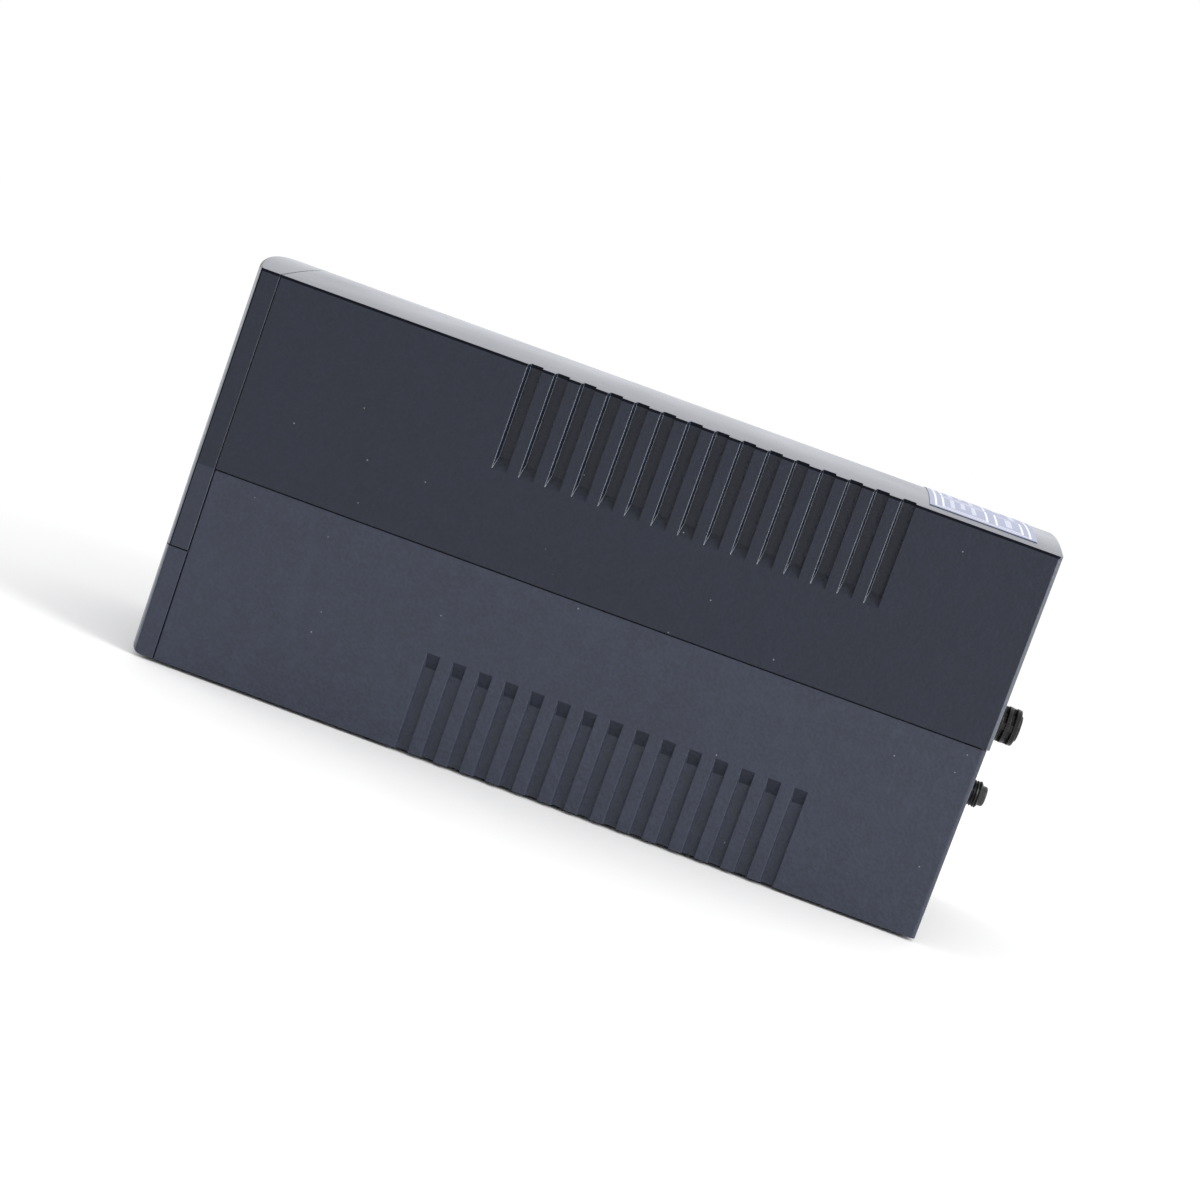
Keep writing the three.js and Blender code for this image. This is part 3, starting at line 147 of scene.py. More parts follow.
class Finish:
    """A surface finish in the making: one material and the nodes it is built from."""

    def __init__(self, name):
        self.material = bpy.data.materials.new(name)
        self.material.use_nodes = True
        self.tree = self.material.node_tree
        self.tree.nodes.clear()
        self.place = self.node("TexCoord", output="Object")

    def feed(self, socket, value):
        if isinstance(value, Signal):
            self.tree.links.new(value.socket, socket)
        elif isinstance(value, (tuple, list, Vector)) and len(value) == 3 and socket.type == "RGBA":
            socket.default_value = (*value, 1.0)
        else:
            socket.default_value = value

    def node(self, kind, settings=None, inputs=None, output=0):
        made = self.tree.nodes.new("ShaderNode" + kind)
        for name, value in (settings or {}).items():
            setattr(made, name, value)
        for name, value in (inputs or {}).items():
            self.feed(made.inputs[name], value)
        return Signal(self, made.outputs[output])

    def math(self, operation, *values):
        return self.node("Math", {"operation": operation}, dict(enumerate(values)))

    def larger(self, first, *others):
        for other in others:
            first = self.math("MAXIMUM", first, other)
        return first

    def axis(self, letter):
        return self.node("SeparateXYZ", inputs={0: self.place}, output=letter)

    def ramp(self, value, low, high, start=0.0, end=1.0):
        inputs = {"Value": value, "From Min": low, "From Max": high, "To Min": start, "To Max": end}
        return self.node("MapRange", {"clamp": True}, inputs)

    def noise(self, size, detail=3.0, stretch=None):
        place = self.stretched(stretch) if stretch else self.place
        return self.node("TexNoise", inputs={"Vector": place, "Scale": 1 / size, "Detail": detail})

    def cells(self, size, feature="F1"):
        return self.node("TexVoronoi", {"feature": feature}, {"Vector": self.place, "Scale": 1 / size})

    def stretched(self, factors):
        return self.node("VectorMath", {"operation": "MULTIPLY"}, {0: self.place, 1: factors})

    def mix(self, factor, first, second):
        settings = {"data_type": "RGBA"}
        return self.node("Mix", settings, {0: factor, 6: first, 7: second}, output=2)

    def bump(self, height, depth, normal=None):
        inputs = {"Height": height, "Distance": depth, "Strength": 1.0}
        if normal:
            inputs["Normal"] = normal
        return self.node("Bump", inputs=inputs)

    def rounded(self, radius):
        return self.node("Bevel", {"samples": 6}, {"Radius": radius})

    def flat_normal(self):
        return self.node("NewGeometry", output="Normal")

    def edge(self, rounded):
        settings = {"operation": "DOT_PRODUCT"}
        dot = self.node("VectorMath", settings, {0: rounded, 1: self.flat_normal()}, output="Value")
        return self.ramp(dot, 0.995, 0.9)

    def along(self, direction, letter):
        return self.node("SeparateXYZ", inputs={0: direction}, output=letter)

    def surface(self, **inputs):
        titles = {name: name.replace("_", " ").title().replace("Ior", "IOR") for name in inputs}
        shader = self.node("BsdfPrincipled", inputs={titles[name]: value for name, value in inputs.items()})
        output = self.tree.nodes.new("ShaderNodeOutputMaterial")
        self.tree.links.new(shader.socket, output.inputs["Surface"])
        return self.material


def shade(colour, factor):
    return tuple(channel * factor for channel in colour)


# ---- Finishes ----
def moulded_case(name, colour, sizes, painted_lower_tone=None, painted_highlight_share=1.0):
    """Textured case plastic: leathery grain, cloudy sheen, a smoother top and front, specks of dust.
    Moulded edges are polished. Light is painted on as well: a painted highlight on the edges towards the rear and
    on the front fillets, painted shade as dark lines round the rim of each side and on faces that turn down, and
    a lighter lower tone on the bezel below the split, which is painted light."""
    finish = Finish(name)
    grain = finish.cells(sizes.grain_size, "SMOOTH_F1")
    wrinkle = finish.noise(sizes.grain_size * 5, 5.0)
    cloud = finish.noise(0.05, 4.0)
    rounded = finish.rounded(sizes.edge_radius)
    edge_polish_and_painted_light = finish.edge(rounded)
    normal = finish.flat_normal()
    sideways = finish.math("ABSOLUTE", finish.along(normal, "X"))
    rearward = finish.along(normal, "Y")
    upward = finish.ramp(finish.along(normal, "Z"), 0.8, 0.97)
    forward = finish.ramp(rearward, -0.6, -0.9)
    polish = finish.larger(upward, forward)
    # Painted highlight: the rear fillets, and rounded edges whose bevel turns to the rear, are mixed towards a
    # pale colour, less on the lower shell and bezel.
    corner = (sideways < 0.94) * (sideways > 0.3) * (rearward > 0.3)
    painted_edge_highlight = finish.larger(edge_polish_and_painted_light * finish.ramp(finish.along(rounded, "Y"), 0.2, 0.5), corner * 0.25) * painted_highlight_share
    # Painted shade: dark lines along the top rim of each side, the start of each front fillet and the rounded top
    # edges, and dark on faces that turn down.
    rim = (finish.axis("Z") > RIM_HEIGHT) * (sideways > 0.9)
    painted_ledge_shade = edge_polish_and_painted_light * (sideways > 0.9) * finish.ramp(finish.along(rounded, "Z"), 0.12, 0.3) * 0.5
    turn = (sideways < SIDE_FACING) * (sideways > 0.93) * (rearward < -0.1)
    # Painted reflection: the front fillets are mixed pale, more so higher up.
    front_edge = (sideways < 0.93) * (sideways > 0.35) * (rearward < -0.1)
    painted_front_reflection = front_edge * finish.ramp(finish.axis("Z"), 0.0, RIM_HEIGHT, 0.15, 0.5)
    painted_overhang_shade = (sideways > 0.8) * (finish.along(normal, "Z") < -0.2) * 0.45
    painted_shade_lines = finish.larger(rim, turn, painted_ledge_shade, painted_overhang_shade, edge_polish_and_painted_light * upward * 0.8) * sizes.painted_line_strength
    specks = finish.cells(0.009) < 0.03
    base = finish.mix(finish.ramp(cloud, 0.3, 0.7), shade(colour, 0.93), shade(colour, 1.08))
    # Painted light: below the split the bezel takes the lighter lower tone.
    if painted_lower_tone:
        base = finish.mix(finish.axis("Z") > SPLIT_HEIGHT, tuple(painted_lower_tone), base)
    base = finish.mix(finish.ramp(grain, 0.25, 0.75) * 0.3, base, shade(colour, 1.9))
    base = finish.mix(finish.ramp(wrinkle, 0.45, 0.7) * 0.3, base, shade(colour, 1.6))
    # Mix in the painted highlights and the painted reflection on the front fillets.
    base = finish.mix(finish.larger(painted_edge_highlight * sizes.painted_highlight_strength, painted_front_reflection), base, PAINTED_HIGHLIGHT_COLOUR)
    base = finish.mix(specks * 0.4, base, DUST)
    # Mix in the painted shade lines.
    base = finish.mix(painted_shade_lines, base, PAINTED_SHADE_COLOUR)
    sheen = finish.ramp(cloud, 0.2, 0.8, sizes.roughness - 0.05, sizes.roughness + 0.06)
    return finish.surface(
        base_color=base,
        # The painted shade lines are also made metallic over their dark colour, which darkens their reflection
        # too: more painted shade.
        metallic=painted_shade_lines,
        roughness=sheen - edge_polish_and_painted_light * 0.1 - polish * sizes.top_polish,
        normal=finish.bump((grain * 0.6 + wrinkle) * (1.0 - polish * 0.9), sizes.grain_depth, rounded),
        specular_ior_level=0.4,
    )


def plain_plastic(name, colour, roughness=0.4, grain=0.0006, depth=0.00001, **more):
    """Black moulded plastic with a fine spark-eroded texture."""
    finish = Finish(name)
    spark = finish.noise(grain, 4.0)
    cloud = finish.noise(0.02)
    rounded = finish.rounded(0.0002)
    base = finish.mix(cloud, shade(colour, 0.8), shade(colour, 1.3))
    # Rounded edges mixed lighter: partly edge wear, partly a painted highlight.
    base = finish.mix(finish.edge(rounded) * 0.3, base, shade(colour, 2.5))
    return finish.surface(
        base_color=base,
        roughness=finish.ramp(spark, 0.3, 0.7, roughness - 0.06, roughness + 0.08),
        normal=finish.bump(spark, depth, rounded),
        **more,
    )


def metal(name, colour, stain, roughness=0.3, stretch=(1, 1, 1), size=0.004):
    """Plated or drawn metal with a cloudy stain and fine draw lines."""
    finish = Finish(name)
    cloud = finish.noise(size * 3, 4.0)
    lines = finish.noise(size * 0.08, 3.0, stretch)
    base = finish.mix(finish.ramp(cloud, 0.35, 0.7), colour, stain)
    return finish.surface(
        base_color=base,
        metallic=1.0,
        roughness=finish.ramp(lines, 0.3, 0.7, roughness - 0.08, roughness + 0.12),
        normal=finish.bump(lines, 0.000006),
    )


def rubber(name, dusty=0.3, roughness=0.5):
    finish = Finish(name)
    fine = finish.noise(0.0005, 4.0)
    dust = finish.ramp(finish.noise(0.004, 5.0), 0.5, 0.8)
    rounded = finish.rounded(0.00025)
    base = finish.mix(dust * dusty, (0.006, 0.006, 0.007), (0.05, 0.05, 0.052))
    return finish.surface(
        # Rounded edges mixed lighter: a painted highlight.
        base_color=finish.mix(finish.edge(rounded) * 0.5, base, (0.06, 0.062, 0.066)),
        roughness=finish.ramp(fine, 0.3, 0.7, roughness, roughness + 0.15),
        normal=finish.bump(fine, 0.00002, rounded),
        specular_ior_level=0.3,
    )


def gloss_plastic(name):
    finish = Finish(name)
    smudge = finish.noise(0.012, 5.0)
    base = finish.mix(smudge, (0.005, 0.005, 0.006), (0.009, 0.009, 0.011))
    return finish.surface(
        base_color=base,
        roughness=finish.ramp(smudge, 0.4, 0.75, 0.07, 0.2),
        normal=finish.bump(finish.noise(0.02, 1.0), 0.00001, finish.rounded(0.0003)),
        specular_ior_level=0.3,
        coat_weight=0.1,
        coat_roughness=0.05,
    )


def clear_resin(name, colour, roughness=0.08):
    finish = Finish(name)
    haze = finish.noise(0.0012, 3.0)
    return finish.surface(
        base_color=finish.mix(haze, shade(colour, 0.85), colour),
        roughness=finish.ramp(haze, 0.3, 0.7, roughness, roughness + 0.12),
        transmission_weight=0.75,
        ior=1.5,
    )


def circuit_board(name):
    """Solder mask over copper: tracks on a fine grid and tinned pads."""
    finish = Finish(name)
    weave = finish.noise(0.0007, 2.0)
    blocks = finish.node("TexBrick", {"offset": 0.5, "squash": 1.4}, {
        "Vector": finish.place, "Scale": 1 / (COMPONENT_PITCH * 3), "Mortar Size": 0.05, "Mortar Smooth": 0.3,
        "Color1": (1, 1, 1, 1), "Color2": (1, 1, 1, 1), "Mortar": (0, 0, 0, 1)}, output="Fac")
    pads = finish.cells(COMPONENT_PITCH * 2.2) < 0.16
    base = finish.mix(weave * 0.4, (0.008, 0.075, 0.028), (0.012, 0.11, 0.04))
    base = finish.mix(blocks * 0.6, base, (0.03, 0.22, 0.08))
    base = finish.mix(pads, base, (0.55, 0.55, 0.53))
    return finish.surface(
        base_color=base,
        metallic=pads * 0.9,
        roughness=finish.ramp(weave, 0.3, 0.7, 0.28, 0.4),
        normal=finish.bump(blocks + pads, 0.00004),
    )


def laminated_iron(name):
    """Varnished sheets stacked along the depth of the core."""
    finish = Finish(name)
    sheet = finish.math("FRACT", finish.axis("Y") * (1 / LAMINATION))
    gap = finish.ramp(sheet, 0.0, 0.2)
    cloud = finish.noise(0.01, 4.0)
    base = finish.mix(cloud, (0.05, 0.052, 0.06), (0.12, 0.1, 0.085))
    return finish.surface(
        base_color=finish.mix(gap, (0.01, 0.01, 0.01), base),
        metallic=0.7,
        roughness=finish.ramp(cloud, 0.3, 0.7, 0.35, 0.6),
        normal=finish.bump(gap, 0.00006),
    )


def copper_wire(name):
    finish = Finish(name)
    tint = finish.noise(0.006, 4.0)
    return finish.surface(
        base_color=finish.mix(tint, (0.42, 0.13, 0.04), (0.62, 0.24, 0.09)),
        metallic=1.0,
        roughness=finish.ramp(tint, 0.3, 0.7, 0.2, 0.38),
        coat_weight=0.6,
        coat_roughness=0.12,
    )


def capacitor_sleeve(name):
    """Shrunk plastic sleeve with one pale stripe down its side."""
    finish = Finish(name)
    ripple = finish.noise(0.002, 2.0)
    low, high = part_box("filter_capacitor")
    middle = (low + high) / 2
    stripe = (finish.axis("X") - middle.x > 0.0035) * (finish.axis("Z") > low.z + 0.001)
    return finish.surface(
        base_color=finish.mix(stripe, (0.012, 0.014, 0.03), (0.5, 0.52, 0.55)),
        roughness=finish.ramp(ripple, 0.3, 0.7, 0.22, 0.34),
        normal=finish.bump(ripple, 0.00004),
    )


def label_paper(name):
    """Satin grey label with pale ruled boxes and blank bars. It carries no words."""
    finish = Finish(name)
    low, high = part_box("top_label")
    across = (finish.axis("X") - low.x) * (1 / (high.x - low.x))
    along = (finish.axis("Y") - low.y) * (1 / (high.y - low.y))
    fibre = finish.noise(0.0008, 4.0)

    def box(x0, x1, y0, y1):
        return (across > x0) * (across < x1) * (along > y0) * (along < y1)

    def frame_box(x0, x1, y0, y1, line=0.012):
        return box(x0, x1, y0, y1) - box(x0 + line, x1 - line, y0 + line * 1.6, y1 - line * 1.6)

    ink = frame_box(0.03, 0.97, 0.05, 0.95)
    for x0, x1, y0, y1 in ((0.07, 0.5, 0.12, 0.55), (0.54, 0.93, 0.12, 0.55), (0.54, 0.93, 0.62, 0.88)):
        ink = ink + frame_box(x0, x1, y0, y1)
    bars = box(0.1, 0.44, 0.2, 0.24)
    for x0, x1, y0, y1 in (
        (0.1, 0.36, 0.3, 0.34), (0.1, 0.46, 0.4, 0.44), (0.58, 0.88, 0.2, 0.24), (0.58, 0.8, 0.3, 0.34),
        (0.58, 0.86, 0.4, 0.44), (0.08, 0.3, 0.64, 0.72), (0.08, 0.48, 0.78, 0.84), (0.6, 0.86, 0.72, 0.78),
    ):
        bars = bars + box(x0, x1, y0, y1)
    base = finish.mix(fibre * 0.4, (0.28, 0.3, 0.42), (0.33, 0.35, 0.47))
    base = finish.mix(bars, base, (0.5, 0.53, 0.64))
    base = finish.mix(ink, base, (0.74, 0.77, 0.85))
    return finish.surface(
        base_color=base,
        roughness=finish.ramp(fibre, 0.3, 0.7, 0.35, 0.48),
        normal=finish.bump(fibre, 0.000008),
    )


# ---- Shaping ----
class Form:
    """Closed shells gathered for one piece."""

    def __init__(self):
        self.shells = []

    def loft(self, rings, loop=False):
        shell = bmesh.new()
        rows = [[shell.verts.new(point) for point in ring] for ring in rings]
        count = len(rows[0])
        pairs = list(zip(rows, rows[1:]))
        if loop:
            pairs.append((rows[-1], rows[0]))
        for near, far in pairs:
            for i in range(count):
                j = (i + 1) % count
                shell.faces.new((near[i], near[j], far[j], far[i]))
        if not loop:
            shell.faces.new(rows[0])
            shell.faces.new(rows[-1])
        bmesh.ops.recalc_face_normals(shell, faces=shell.faces)
        self.shells.append(shell)
        return self

    def block(self, low, high):
        ends = [(low[0], low[1]), (high[0], low[1]), (high[0], high[1]), (low[0], high[1])]
        return self.loft([[Vector((x, y, z)) for x, y in ends] for z in (low[2], high[2])])

    def slab(self, centre, low, high):
        """A block whose two corners are given in millimetres from a centre."""
        return self.block(centre + Vector(low) * MM, centre + Vector(high) * MM)

    def turned(self, centre, axis, profile, sides=48, loop=False):
        """Profile rows are (radius, distance along the axis); a radius may be a function of the angle."""
        rings = []
        for radius, along in profile:
            ring = []
            for i in range(sides):
                angle = math.tau * i / sides
                r = radius(angle) if callable(radius) else radius
                ring.append(centre + turned_point(axis, r, angle, along))
            rings.append(ring)
        return self.loft(rings, loop)

    def tube(self, path, radius, sides=16, loop=False):
        return self.loft(tube_rings(path, radius, sides, loop), loop)

    def mesh(self, name):
        whole = bmesh.new()
        for shell in self.shells:
            part = bpy.data.meshes.new(name)
            shell.to_mesh(part)
            whole.from_mesh(part)
            bpy.data.meshes.remove(part)
            shell.free()
        made = bpy.data.meshes.new(name)
        whole.to_mesh(made)
        whole.free()
        return made

    def objects(self, name):
        """One throwaway object for each shell, for joining and cutting."""
        made = []
        for shell in self.shells:
            mesh = bpy.data.meshes.new(name)
            shell.to_mesh(mesh)
            shell.free()
            part = bpy.data.objects.new(name, mesh)
            bpy.context.scene.collection.objects.link(part)
            made.append(part)
        return made


def turned_point(axis, radius, angle, along):
    u = radius * math.cos(angle)
    v = radius * math.sin(angle)
    return Vector((u, along, v)) if axis == "Y" else Vector((u, v, along))


def tube_rings(path, radius, sides, loop):
    rings = []
    count = len(path)
    side = None
    for i, point in enumerate(path):
        before = path[i - 1] if i or loop else point
        after = path[(i + 1) % count] if i + 1 < count or loop else point
        heading = (after - before).normalized()
        if side is None:
            side = heading.orthogonal().normalized()
        side = (side - heading * side.dot(heading)).normalized()
        up = heading.cross(side)
        rings.append([
            point + (side * math.cos(math.tau * k / sides) + up * math.sin(math.tau * k / sides)) * radius
            for k in range(sides)
        ])
    return rings


def smooth_path(points, steps):
    """Catmull-Rom points through the given ones."""
    padded = [points[0] * 2 - points[1], *points, points[-1] * 2 - points[-2]]
    path = []
    for a, b, c, d in zip(padded, padded[1:], padded[2:], padded[3:]):
        for i in range(steps):
            t = i / steps
            path.append(0.5 * (2 * b + (c - a) * t + (2 * a - 5 * b + 4 * c - d) * t ** 2
                               + (3 * b - a - 3 * c + d) * t ** 3))
    return [*path, points[-1]]


def thread_rows(start, end, radius, depth, pitch, steps=6):
    """Rows of a turned profile whose radius winds a screw thread, with plain ends."""
    rows = []
    count = max(2, round((end - start) / pitch * steps))
    for k in range(count + 1):
        share = k / count
        along = start + (end - start) * share
        fade = min(1.0, share * 6, (1 - share) * 6)

        def wound(angle, along=along, fade=fade):
            phase = (along / pitch + angle / math.tau) % 1
            return radius - depth * fade * abs(2 * phase - 1)

        rows.append((wound, along))
    return rows


def combined(parts, operation):
    """The first part after every other one has been joined to it or cut from it."""
    first = parts[0]
    for part in parts[1:]:
        step = first.modifiers.new("step", "BOOLEAN")
        step.operation = operation
        step.object = part
        step.solver = "EXACT"
        bpy.context.view_layer.update()
        evaluated = first.evaluated_get(bpy.context.evaluated_depsgraph_get())
        mesh = bpy.data.meshes.new_from_object(evaluated)
        first.modifiers.remove(step)
        first.data = mesh
        bpy.data.objects.remove(part)
    return first


def softened(piece, bevel=0.0, segments=2):
    """Rounds the sharp edges of a piece and shades it smooth."""
    if bevel:
        rounding = piece.modifiers.new("rounding", "BEVEL")
        rounding.width = bevel
        rounding.segments = segments
        rounding.limit_method = "ANGLE"
        rounding.angle_limit = SHARP_ANGLE
    shade_by_angle(piece.data)
    if bevel:
        weighted = piece.modifiers.new("even_shading", "WEIGHTED_NORMAL")
        weighted.keep_sharp = True
    return piece


def shade_by_angle(mesh):
    for face in mesh.polygons:
        face.use_smooth = True
    mesh.set_sharp_from_angle(angle=SHARP_ANGLE)


def is_flat(normal):
    """Tells a face of the flat sides or underside from one of the curves round them."""
    return abs(normal.y) < SIDE_TURN and (abs(normal.x) > SIDE_FACING or normal.z < -SIDE_FACING)


def keep_sides_flat(mesh):
    """Stops the curves round the flat sides and underside from shading into them."""
    sides = [is_flat(face.normal) for face in mesh.polygons]
    seen = {}
    for face, side in zip(mesh.polygons, sides):
        face.use_smooth = not side
        for key in face.edge_keys:
            seen.setdefault(key, set()).add(side)
    for edge in mesh.edges:
        if len(seen[edge.key]) > 1:
            edge.use_edge_sharp = True


def fitted(piece, material, node, body=CASE_BODY):
    """Gives a finished piece its material in a slot and its body, and hides the CAD node it stands for."""
    piece.data.materials.clear()
    piece.data.materials.append(material)
    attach(piece, body)
    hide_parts(node)


def new_piece(name, mesh):
    piece = bpy.data.objects.new(name, mesh)
    bpy.context.scene.collection.objects.link(piece)
    return piece


def turned_piece(name, centre, axis, profile, sides, loop=False):
    return new_piece(name, Form().turned(centre, axis, profile, sides, loop).mesh(name))


def in_mm(*rows):
    """Profile rows given in millimetres, as metres."""
    return [tuple(value * MM for value in row) for row in rows]


def front_centre(node):
    """The middle of the side of a node that faces the front of the case."""
    low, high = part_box(node)
    return Vector(((low.x + high.x) / 2, low.y, (low.z + high.z) / 2))


def base_centre(node):
    """The middle of the underside of a node."""
    low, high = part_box(node)
    return Vector(((low.x + high.x) / 2, (low.y + high.y) / 2, low.z))


def size_in_mm(node):
    """Width, depth and height of a node in millimetres."""
    low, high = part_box(node)
    return [(far - near) / MM for near, far in zip(low, high)]


def fused(name, form, cuts=None):
    parts = form.objects(name)
    piece = combined(parts, "UNION")
    if cuts:
        piece = combined([piece, *cuts.objects(name + "_cut")], "DIFFERENCE")
    piece.name = name
    piece.data.name = name
    return piece


def smoothed_copy(node, name):
    """A copy of a CAD node with its facets welded and its curves shaded smooth."""
    work = bmesh.new()
    work.from_mesh(frame["nodes"][node].data)
    bmesh.ops.remove_doubles(work, verts=work.verts, dist=1e-6)
    bmesh.ops.dissolve_limit(work, angle_limit=math.radians(0.3), verts=work.verts, edges=work.edges)
    bmesh.ops.triangulate(work, faces=[face for face in work.faces if len(face.verts) > 4])
    clean = bpy.data.meshes.new(name)
    work.to_mesh(clean)
    work.free()
    piece = new_piece(name, clean)
    shade_by_angle(clean)
    keep_sides_flat(clean)
    weighted = piece.modifiers.new("even_shading", "WEIGHTED_NORMAL")
    weighted.keep_sharp = True
    return piece


def painted(node, material):
    """Gives a CAD node that is shown as it is a better finish."""
    shown = frame["nodes"][node]
    for slot in shown.material_slots:
        slot.material = material


# ---- Settings ----
def colour_setting(name, description, default):
    return FloatVectorProperty(
        name=name, description=description, subtype="COLOR", default=default, min=0.0, max=1.0)


def length_setting(name, description, default, least, most):
    return FloatProperty(
        name=name, description=description, unit="LENGTH", default=default, min=least, max=most, precision=6)


def share_setting(name, description, default, most=1.0):
    return FloatProperty(
        name=name, description=description, subtype="FACTOR", default=default, min=0.0, max=most)


def power_setting(name, description, default):
    return FloatProperty(
        name=name, description=description, unit="POWER", default=default, min=0.0, max=500.0)


class SupplyCaseSettings(bpy.types.PropertyGroup):
    """Colours and texture of the moulded case."""

    upper_colour: colour_setting("Upper colour", "Upper shell and bezel", (0.005, 0.008, 0.018))
    # The lower colour is a lighter copy of the upper one: painted light for the half below the crease.
    lower_lit_colour: colour_setting("Lower colour", "Lower shell and front panel", (0.0195, 0.024, 0.0405))
    grain_size: length_setting("Grain size", "Width of one cell of the grain", 1.1 * MM, 0.3 * MM, 5 * MM)
    grain_depth: length_setting("Grain depth", "Height of the grain", 0.3 * MM, 0.0, 0.5 * MM)
    edge_radius: length_setting("Edge radius", "Rounding of the moulded edges", 0.4 * MM, 0.0, 2 * MM)
    roughness: share_setting("Roughness", "Mean roughness of the plastic", 0.45, 0.9)
    top_polish: share_setting("Top polish", "How much smoother the top and front are", 0.26, 0.35)
    # Edge shine sets the strength of a painted highlight on the rounded edges towards the rear.
    painted_highlight_strength: share_setting("Edge shine", "How pale the polished edges towards the rear are", 0.75)
    # The dark line round the rim of each side is painted shade.
    painted_line_strength: share_setting("Edge line", "How dark the line round the rim of each side is", 0.9)


class SupplyFittingSettings(bpy.types.PropertyGroup):
    """Sizes of the fittings on the case."""

    thread_pitch: length_setting("Thread pitch", "One turn of the breaker neck", 0.95 * MM, 0.3 * MM, 2 * MM)
    gland_rounding: length_setting("Gland rounding", "Rounding of the gland's rings", 0.3 * MM, 0.0, 0.5 * MM)
    foot_rings: IntProperty(name="Foot rings", description="Grip rings under a foot", default=3, min=1, max=4)
    line_colour: colour_setting("Line light", "Resin of the top indicator", (0.25, 0.8, 0.3))
    battery_colour: colour_setting("Battery light", "Resin of the middle indicator", (0.9, 0.6, 0.12))
    fault_colour: colour_setting("Fault light", "Resin of the bottom indicator", (0.85, 0.12, 0.1))


class SupplyInsideSettings(bpy.types.PropertyGroup):
    """Sizes of what the case holds."""

    wire: length_setting("Winding wire", "Diameter of the transformer's wire", 1.3 * MM, 0.5 * MM, 3 * MM)
    lead: length_setting("Lead radius", "Radius of the battery leads", 1.5 * MM, 0.5 * MM, 1.5 * MM)


class SupplyStageSettings(bpy.types.PropertyGroup):
    """Floor and light."""

    floor_colour: colour_setting("Floor colour", "Plain pale floor", (0.9, 0.9, 0.9))
    back_colour: colour_setting("Back light colour", "Tint of the light behind the top", (0.6, 0.7, 1.0))
    sky: share_setting("Surrounding light", "Strength of the even light all around", 1.0, 3.0)
    key: power_setting("Key light", "Power of the large soft light", 24.0)
    fill: power_setting("Fill light", "Power of the light over the front", 9.0)
    back: power_setting("Back light", "Power of the light behind the top", 1.0)


SETTINGS = {
    "supply_case": SupplyCaseSettings,
    "supply_fittings": SupplyFittingSettings,
    "supply_inside": SupplyInsideSettings,
    "supply_stage": SupplyStageSettings,
}


# ---- Operators: one for each piece or group of like pieces ----
class SUPPLY_OT_stage(bpy.types.Operator):
    """Lay the pale floor, hang the soft lights and set up the camera"""

    bl_idname = "supply.stage"
    bl_label = "Stage, lights and camera"

    def execute(self, context):
        sizes = context.scene.supply_stage
        context.scene.view_settings.view_transform = "Standard"
        self.lay_floor(tuple(sizes.floor_colour))
        self.light_world(context, sizes.sky)
        self.hang_light("key_light", Vector((0.75, 1.5, 0.75)), 0.8, sizes.key)
        self.hang_light("front_light", Vector((-0.25, -1.5, 0.45)), 1.0, sizes.fill)
        back = self.hang_light("back_light", Vector((-1.5, 0.1, 0.5)), 1.2, sizes.back)
        back.color = sizes.back_colour
        self.aim_camera(context)
        return {"FINISHED"}

    def lay_floor(self, colour):
        """A thin round floor that fades out away from the case."""
        thick = 4.2
        profile = in_mm((2600, 0.0), (2602, 0.5), (2602, thick - 0.5), (2600, thick))
        floor = turned_piece("floor", Vector((0, 0, -thick * MM)), "Z", profile, 96)
        finish = Finish("floor")
        speckle = finish.noise(0.03, 3.0)
        away = finish.node("VectorMath", {"operation": "LENGTH"}, {0: finish.place}, output="Value")
        floor.data.materials.append(finish.surface(
            base_color=finish.mix(speckle, shade(colour, 0.985), colour),
            roughness=finish.ramp(speckle, 0.3, 0.7, 0.8, 0.9),
            alpha=finish.ramp(away, 0.4, 1.3, 1.0, 0.0),
        ))

    def light_world(self, context, strength):
        world = bpy.data.worlds.new("even_sky")
        world.use_nodes = True
        background = world.node_tree.nodes["Background"]
        background.inputs["Color"].default_value = (1.0, 1.0, 1.0, 1.0)
        background.inputs["Strength"].default_value = strength
        context.scene.world = world

    def hang_light(self, name, place, size, power):
        """A square soft light that faces the middle of the case."""
        lamp = bpy.data.lights.new(name, "AREA")
        lamp.size = size
        lamp.energy = power
        heading = (CAD_BOX[0] + CAD_BOX[1]) / 2 - place
        turn = heading.to_track_quat("-Z", "Y").to_matrix().to_4x4()
        new_piece(name, lamp).matrix_world = Matrix.Translation(place) @ turn
        return lamp

    def aim_camera(self, context):
        lens = bpy.data.cameras.new("camera")
        lens.lens = LENS_MM
        lens.clip_start = 0.01
        camera = new_piece("camera", lens)
        forward = Vector((
            -math.cos(CAMERA_PITCH) * math.cos(CAMERA_YAW),
            -math.cos(CAMERA_PITCH) * math.sin(CAMERA_YAW),
            -math.sin(CAMERA_PITCH)))
        level = Vector((-math.sin(CAMERA_YAW), math.cos(CAMERA_YAW), 0.0))
        above = level.cross(forward)
        right = level * math.cos(CAMERA_ROLL) + above * math.sin(CAMERA_ROLL)
        up = above * math.cos(CAMERA_ROLL) - level * math.sin(CAMERA_ROLL)
        turn = Matrix((right, up, -forward)).transposed().to_4x4()
        camera.matrix_world = Matrix.Translation(CAMERA_PLACE) @ turn
        context.scene.camera = camera


